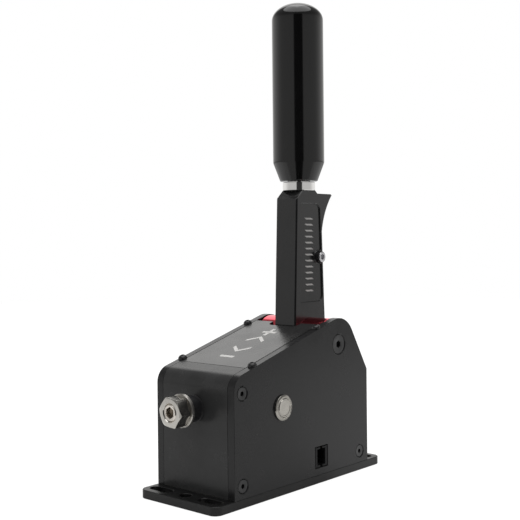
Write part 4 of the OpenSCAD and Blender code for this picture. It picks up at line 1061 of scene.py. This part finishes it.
@dataclass
class Lever:
    """Rocking lever: bar, cheeks, collar, knob and trigger. Sizes are in millimetres."""

    axis_y: float = 40.0
    bar_x: float = 10.25
    pocket_x: float = 9.25
    screw_seat_x: float = 9.05
    collar_z: float = 215.3
    collar_r: float = 12.5
    collar_h: float = 6.4
    neck_r: float = 8.5
    neck_h: float = 0.7
    bore_r: float = 4.05
    knob_z: float = 222.4
    knob_r: float = 19.8
    knob_foot_r: float = 14.3
    knob_cone_h: float = 14.6
    knob_l: float = 137.5
    knob_dome_h: float = 13.3
    insert_r: float = 7.0
    insert_l: float = 26.0
    trigger: Flat = (51.0, 164.0)
    screw_r: float = 2.5
    screw_l: float = 22.8
    screw_head: Flat = (3.8, 5.0)
    mark_y: float = 40.2
    mark_z: float = 166.0
    mark: Point = (8.4, 1.3, 2.4)
    mark_pitch: float = 4.6
    mark_count: int = 13

    def dress(self) -> None:
        """Finishes the lever's pieces that the frame holds."""
        dress_nodes(
            ("lever_bar", FINISH.lever, 0.3, CRISP, STEEP_ANGLE),
            ("left_rocker_cheek", FINISH.red, 0.6),
            ("right_rocker_cheek", FINISH.red, 0.6),
            ("trigger", FINISH.lever, 0.6, CRISP),
            ("cheek_bolts", FINISH.black_steel, 0.2),
            ("cheek_nuts", FINISH.zinc, 0.15),
            ("pivot_bushes", FINISH.bronze, 0.2),
            ("sensor_magnet", FINISH.zinc, 0.2),
            ("knob_stud", FINISH.zinc, 0.4),
            ("knob_insert", FINISH.brass, 0.3),
            ("trigger_bush", FINISH.bronze, 0.15),
            ("trigger_switch", FINISH.plastic, 0.2))

    def build(self) -> None:
        """Makes the turned pieces, the trigger's fittings and the marks."""
        self._knob()
        self._collar()
        self._trigger_screw()
        self._trigger_nut()
        self._trigger_spring()
        self._marks()

    def _upright(self, z: float) -> Matrix:
        """Matrix of a piece on the lever's axis."""
        return Facing.UP.matrix((0.0, self.axis_y, z))

    def _knob(self) -> None:
        """Makes the tall turned knob."""
        straight, relief, edge = self.knob_l - self.knob_dome_h, self.neck_r + 0.2, 0.4
        lower = [(0.0, self.insert_l), (self.insert_r, self.insert_l), (self.insert_r, edge),
                 (self.insert_r + edge, 0.0), (relief, 0.0), (relief, 1.2)]
        cone = [(relief + 0.3, 1.3), (self.knob_foot_r, 0.0), (self.knob_r, self.knob_cone_h),
                (self.knob_r, straight - 4)]
        dome = [(self.knob_r * math.cos(a), straight + self.knob_dome_h * math.sin(a))
                for a in (math.radians(angle) for angle in range(0, 89, 4))]
        profile = lower + softened(cone, 0.9) + dome + [(0.0, self.knob_l)]
        parts = [(lathe(profile, 128), self._upright(self.knob_z))]
        add_piece("knob_finished", Body.LEVER, FINISH.knob, parts, "knob", sharp=40.0)

    def _collar(self) -> None:
        """Makes the polished collar under the knob."""
        r, h, bore, inner, edge = self.collar_r, self.collar_h, self.bore_r, 0.2, 0.3
        top = h + self.neck_h
        profile = [(bore, top - inner), (bore, inner), (bore + inner, 0.0), (r - edge, 0.0), (r, edge),
                   (r, h - edge), (r - edge, h), (self.neck_r, h), (self.neck_r, top), (bore + inner, top)]
        parts = [(lathe(profile, 128, closed=True), self._upright(self.collar_z))]
        add_piece("lever_collar_finished", Body.LEVER, FINISH.collar, parts, "lever_collar")

    def _trigger_screw(self) -> None:
        """Makes the trigger's pivot screw and a black band round the side of its head, partly a black oxide
        side and partly painted shade of that side.
        """
        r, foot, (head, face), tip, edge = self.screw_r, -self.screw_l, self.screw_head, 0.4, 0.35
        rings = rounds([(0, foot), (r - tip, foot), (r, foot + tip), (r, 0.0), (head, 0.0),
                        (head, face - edge), (head - edge, face), (2.65, face)])
        rings += hex_socket(4.0, 0.2, (face - 0.1, face - 0.35, 2.4, 1.6))
        place = Facing.RIGHT.matrix((self.screw_seat_x, *self.trigger))
        parts = [(ring_stack(rings), place)]
        add_piece("trigger_screw_finished", Body.LEVER, FINISH.zinc, parts, "trigger_screw")
        # Black band on the head's side: partly black oxide, partly painted shade of the head's side
        dark_band = [(3.85, face - 0.5), (3.85, 0.02), (4.1, 0.02), (4.2, 0.1), (4.2, face - 0.6),
                  (4.1, face - 0.5)]
        parts = [(lathe(dark_band, 48, closed=True), place)]
        add_piece("trigger_screw_dark_band", Body.LEVER, FINISH.black_steel, parts)

    def _trigger_nut(self) -> None:
        """Makes the nut on the far end of the trigger's screw."""
        nut = HexNut(8.0, 4.0, self.screw_r + PLAY, 0.485, 0.3, 0.3)
        parts = [(nut.mesh(48), Facing.LEFT.matrix((-self.bar_x, *self.trigger)))]
        add_piece("trigger_nut_finished", Body.LEVER, FINISH.zinc, parts, "trigger_nut", sharp=NUT_ANGLE)

    def _trigger_spring(self) -> None:
        """Makes the spring that pushes the trigger back."""
        low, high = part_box("trigger_spring")
        start, end = ((0.0, y / MM, (low.z + high.z) / 2 / MM) for y in (low.y, high.y))
        Coil(3.9, 0.7, 7, 24, 8).add(
            "trigger_spring_finished", "trigger_spring", Facing.BACK.matrix(start),
            (Body.LEVER, Body.TRIGGER), (start, end))

    def _marks(self) -> None:
        """Prints a row of plain slanted bars in the lever's side pockets."""
        rows = [self.mark_pitch * (i - self.mark_count // 2) for i in range(self.mark_count)]
        bars = [[(b, a) for a, b in bar_outline((0.0, row), *self.mark)][::-1] for row in rows]
        for way, facing in SIDES:
            place = facing.matrix((way * self.pocket_x, self.mark_y, self.mark_z))
            name = f"lever_marks_{facing.name.lower()}"
            add_piece(name, Body.LEVER, FINISH.print_dim, [(slab(bar), place) for bar in bars])


@dataclass
class PushButton:
    """Round push button in the right side. Sizes are in millimetres."""

    face_x: float = 37.0
    y: float = -26.5
    z: float = 61.0
    body_r: float = 8.0
    bezel_r: float = 9.0
    bezel_t: float = 2.0
    cap_r: float = 6.5
    body_l: float = 19.0
    thread_end: float = -6.4
    well: float = -4.5

    def dress(self) -> None:
        """Finishes the button's pieces behind the plate."""
        dress_nodes(("button_nut", FINISH.zinc, 0.2), ("button_terminals", FINISH.brass, 0.1))

    def build(self) -> None:
        """Makes the bezel with its body, the seal, the cap and the spring."""
        place = Facing.RIGHT.matrix((self.face_x, self.y, self.z))
        r, t, body_r, foot = self.bezel_r, self.bezel_t, self.body_r, -self.body_l
        body = [(0.0, foot), (body_r - 0.6, foot)] + thread(body_r, foot + 0.6, self.thread_end, 1.0)
        body += [(body_r, self.thread_end + 0.2), (body_r, 0.3), (r - 0.15, 0.3), (r, 0.4), (r, t - 0.8),
                 (r - 0.2, t - 0.55), (r - 1.1, t), (7.75, t), (7.6, t - 0.25), (7.25, t - 0.25),
                 (7.1, t - 0.02), (6.75, t - 0.02), (6.6, t - 0.2), (6.6, self.well), (3.0, self.well),
                 (3.0, -9.5), (0.0, -9.5)]
        parts = [(lathe(body, 96), place)]
        add_piece("button_housing_finished", Body.HOUSING, FINISH.button, parts, "button_housing")
        inner, low, high = body_r + PLAY, 0.02, 0.28
        seal = [(inner, high), (inner, low), (r - 0.1, low), (r + 0.05, 0.1), (r + 0.05, 0.2),
                (r - 0.1, high)]
        add_piece("button_seal", Body.HOUSING, FINISH.rubber, [(lathe(seal, 96, closed=True), place)])
        edge, rim = self.cap_r, t + 0.4
        cap = [(0.0, -1.7), (3.0, -1.7), (3.0, -2.7), (edge, -2.7), (edge, t - 0.05), (edge - 0.4, rim),
               (5.5, rim), (5.2, t + 0.12), (4.9, t + 0.08), (2.5, t + 0.2), (0.0, t + 0.25)]
        parts = [(lathe(cap, 96), place)]
        add_piece("button_cap_finished", Body.BUTTON, FINISH.button, parts, "button_cap", sharp=20.0)
        start, end = ((corner.x / MM, self.y, self.z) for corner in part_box("button_spring"))
        Coil(4.2, 0.6, 5, 24, 8).add(
            "button_spring_finished", "button_spring", Facing.RIGHT.matrix(start),
            (Body.HOUSING, Body.BUTTON), (start, end))


@dataclass
class Electrics:
    """Plug jack, boards and the leads between them. Sizes are in millimetres."""

    lead_r: float = 0.9
    button_pin: Point = (13.0, -21.5, 61.0)
    plug_top: Point = (20.71, 12.9, 44.0)
    board_top: float = 48.0
    board_face: float = 10.4
    sensor_end: Point = (15.85, 40.0, 70.03)
    plug_side: Point = (19.0, 15.4, 41.0)
    bend_steps: int = 14

    def dress(self) -> None:
        """Finishes the jack, the boards and what holds them."""
        dress_nodes(
            ("signal_jack", FINISH.plastic, 0.2, CRISP),
            ("jack_contacts", FINISH.brass, 0.08, CRISP),
            ("circuit_board", FINISH.board, 0.1, CRISP),
            ("board_chips", FINISH.plastic, 0.15, CRISP),
            ("board_bracket", FINISH.zinc, 0.2),
            ("board_screws", FINISH.zinc, 0.15),
            ("sensor_board", FINISH.board, 0.1, CRISP),
            ("hall_sensor", FINISH.plastic, 0.15, CRISP),
            ("sensor_posts", FINISH.brass, 0.15))

    def build(self) -> None:
        """Makes the two leads on smooth routes."""
        r, steps = self.lead_r, self.bend_steps
        pin, top = Vector(self.button_pin), Vector(self.plug_top)
        over = Vector((top.x, self.board_face - 2 * r, self.board_top + 3 * r))
        bend = Vector((pin.x + 5.5 * r, pin.y + 4.5 * r, over.z - r))
        route = [pin, pin + Vector((-r, 0, 0))] + bent(pin + r * Vector((-2, 0.2, -1.6)), bend, over, steps)
        route += [Vector((top.x, top.y - 0.4 * r, over.z - 2.6 * r)), top + Vector((0, 0, 1.7 * r)), top]
        self._lead("button_lead", route, FINISH.lead_red)
        end, side = Vector(self.sensor_end), Vector(self.plug_side)
        bend = Vector((side.x, end.y - 2.2 * r, side.z + 4.4 * r))
        last = side + r * Vector((0, 3.3, 0.4))
        route = [end, end + Vector((r, 0, 0))] + bent(end + r * Vector((2.2, -0.2, -1.7)), bend, last, steps)
        route += [side + Vector((0, 1.7 * r, 0)), side]
        self._lead("sensor_lead", route, FINISH.lead_black)

    def _lead(self, node: str, route: Sequence[Vector], finish: Finish) -> None:
        """Makes a lead."""
        parts = [(tube(route, self.lead_r), Matrix())]
        add_piece(f"{node}_finished", Body.HOUSING, finish, parts, node, sharp=WIRE_ANGLE)


@dataclass
class Studio:
    """Camera, in millimetres and degrees, with a floor, a world and a lamp in metres.

    Attributes:
        floor_show: Glow of the floor as the camera sees it.
        floor_tone: Tone of the floor under that glow.
        paper: Tone of the floor as the object sees it.
        level: Plain light from the sides.
        overhead: What the light gains from above.
        sweep: Mirrored light of the floor behind the object.
        front: Mirrored light on the camera's side.
        backdrop: Mirrored light behind the object.
        softbox: Mirrored light high behind the object.
        high: Mirrored light elsewhere above.
        dark: Share of the light that is left in the gap on the camera's side.
        gap: Half widths of the gap, in degrees.
    """

    camera_place: Point = (447.39, -517.44, 177.64)
    azimuth: float = 41.479
    pitch: float = 0.327
    roll: float = -0.553
    lens: float = 63.81
    shift: Flat = (0.00858, -0.02843)
    floor_r: float = 1.2
    floor_back: float = 1.0
    floor_drop: float = 0.0002
    floor_show: float = 0.82
    floor_tone: float = 0.3
    paper: float = 0.75
    level: float = 0.60
    overhead: float = 0.2
    sweep: float = 0.55
    front: float = 0.55
    backdrop: float = 0.88
    softbox: float = 1.35
    high: float = 0.25
    dark: float = 0.06
    gap: Flat = (23.0, 16.0)
    tint: Point = (1.0, 0.993, 0.98)
    lamp_place: Point = (0.1, -0.1, 1.3)
    lamp_d: float = 1.5
    lamp_power: float = 11.0

    def build(self) -> None:
        """Sets up everything around the object."""
        bpy.context.scene.view_settings.view_transform = "Standard"
        self._camera()
        self._world()
        self._floor()
        self._lamp()

    @staticmethod
    def _link(name: str, data: bpy.types.ID) -> bpy.types.Object:
        """Puts an object into the scene.

        Args:
            name: Name of the object.
            data: Its camera, mesh or light.

        Returns:
            The object.
        """
        thing = bpy.data.objects.new(name, data)
        bpy.context.scene.collection.objects.link(thing)
        return thing

    def _camera(self) -> None:
        """Puts the camera where the photograph was taken from."""
        az, p, roll = (math.radians(a) for a in (self.azimuth, self.pitch, self.roll))
        back = Vector((math.sin(az) * math.cos(p), -math.cos(az) * math.cos(p), math.sin(p)))
        right = Vector((math.cos(az), math.sin(az), 0.0))
        up = back.cross(right)
        rolled_right = right * math.cos(roll) + up * math.sin(roll)
        rolled_up = up * math.cos(roll) - right * math.sin(roll)
        data = bpy.data.cameras.new("camera")
        data.sensor_width = 36.0
        data.sensor_fit = "HORIZONTAL"
        data.lens = self.lens
        data.shift_x, data.shift_y = self.shift
        data.clip_start = 0.01
        camera = self._link("camera", data)
        turn = Matrix((rolled_right, rolled_up, back)).transposed().to_4x4()
        camera.matrix_world = Matrix.Translation(Vector(self.camera_place) * MM) @ turn
        bpy.context.scene.camera = camera

    def _world(self) -> None:
        """Makes a studio of soft panels, with a white backdrop and an unlit gap on the camera's side."""
        world = bpy.data.worlds.new("studio")
        bpy.context.scene.world = world
        world.use_nodes = True
        world.node_tree.nodes.clear()
        graph = Graph(world.node_tree)
        way = graph.node("ShaderNodeTexCoord", {}).outputs["Generated"]
        height = graph.node("ShaderNodeSeparateXYZ", {"Vector": way}).outputs["Z"]
        back = self._backwards(graph, way)
        rays = graph.node("ShaderNodeLightPath", {}).outputs
        shiny = graph.combined("MAXIMUM", rays["Is Glossy Ray"], rays["Is Transmission Ray"])

        soft = graph.mapped(height, (0.05, 0.55), (self.level, self.level + self.overhead))
        panels = graph.mapped(back, (-0.25, 0.55), (self.front, self.backdrop))
        sweep = graph.mapped(back, (-0.15, 0.15), (self.front, self.sweep))
        ceiling = graph.mapped(back, (0.86, 0.945), (self.high, self.softbox))
        mirrored = graph.mixed(graph.mapped(height, (-0.02, 0.04)), sweep, panels)
        mirrored = graph.mixed(graph.mapped(height, (0.15, 0.6)), mirrored, ceiling)
        lit = graph.mixed(shiny, soft, mirrored)

        edges = tuple(-math.cos(math.radians(angle)) for angle in self.gap)
        shade = graph.combined("MULTIPLY", graph.mapped(back, edges), graph.mapped(height, (0.62, 0.35)))
        strength = graph.combined("MULTIPLY", lit, graph.mapped(shade, WHOLE, (1.0, self.dark)))
        studio = graph.node("ShaderNodeBackground", {"Color": (*self.tint, 1.0), "Strength": strength})
        white = graph.node("ShaderNodeBackground", {"Color": (1.0, 1.0, 1.0, 1.0)})
        graph.show("ShaderNodeOutputWorld", rays["Is Camera Ray"], studio.outputs["Background"],
                   white.outputs["Background"])

    def _backwards(self, graph: Graph, place: Socket) -> Socket:
        """Tells the camera's side from the far side.

        Args:
            graph: Nodes of the tree.
            place: A direction, or a place on the floor.

        Returns:
            Value from -1 on the camera's side to 1 behind the object.
        """
        unit = graph.vector("NORMALIZE", [graph.vector("MULTIPLY", [place, (1.0, 1.0, 0.0)])])
        az = math.radians(self.azimuth)
        return graph.vector("DOT_PRODUCT", [unit, (-math.sin(az), math.cos(az), 0.0)], "Value")

    def _floor(self) -> None:
        """Lays a pale floor that shows white and keeps a faint shadow."""
        count = 96
        az = math.radians(self.azimuth)
        x, y, z = -self.floor_back * math.sin(az), self.floor_back * math.cos(az), -self.floor_drop
        points = [(x, y, z)] + [(x + self.floor_r * math.cos(a), y + self.floor_r * math.sin(a), z)
                                for a in (2 * math.pi * i / count for i in range(count))]
        mesh = bpy.data.meshes.new("floor")
        mesh.from_pydata(points, [], [(0, 1 + i, 1 + (i + 1) % count) for i in range(count)])
        floor = self._link("floor", mesh)
        material = bpy.data.materials.new("floor_white")
        material.use_nodes = True
        material.node_tree.nodes.clear()
        graph = Graph(material.node_tree)
        paper, shown = (
            graph.node("ShaderNodeBsdfDiffuse", {"Color": (tone, tone, tone, 1.0)}).outputs["BSDF"]
            for tone in (self.paper, self.floor_tone))
        glow = graph.node("ShaderNodeEmission", {"Strength": self.floor_show}).outputs["Emission"]
        both = graph.node("ShaderNodeAddShader", {0: shown, 1: glow}).outputs["Shader"]
        rays = graph.node("ShaderNodeLightPath", {}).outputs
        place = graph.node("ShaderNodeTexCoord", {}).outputs["Object"]
        behind = graph.mapped(self._backwards(graph, place), (-0.15, 0.15), (0.0, self.sweep))
        mirrored = graph.combined("MULTIPLY", rays["Is Glossy Ray"], behind)
        share = graph.combined("MAXIMUM", rays["Is Camera Ray"], mirrored)
        graph.show("ShaderNodeOutputMaterial", share, paper, both)
        mesh.materials.append(material)

    def _lamp(self) -> None:
        """Hangs one large soft lamp overhead."""
        data = bpy.data.lights.new("overhead", "AREA")
        data.shape = "DISK"
        data.size = self.lamp_d
        data.energy = self.lamp_power
        self._link("overhead", data).location = self.lamp_place


def main() -> None:
    """Builds the shifter and its studio, and logs each sub-assembly."""
    logging.basicConfig(level=logging.INFO, format="%(message)s")
    Studio().build()
    for part in (Housing(), Adjuster(), Lever(), PushButton(), Electrics()):
        LOG.info("sub-assembly %s", type(part).__name__)
        part.dress()
        part.build()


if __name__ == "__main__":
    main()
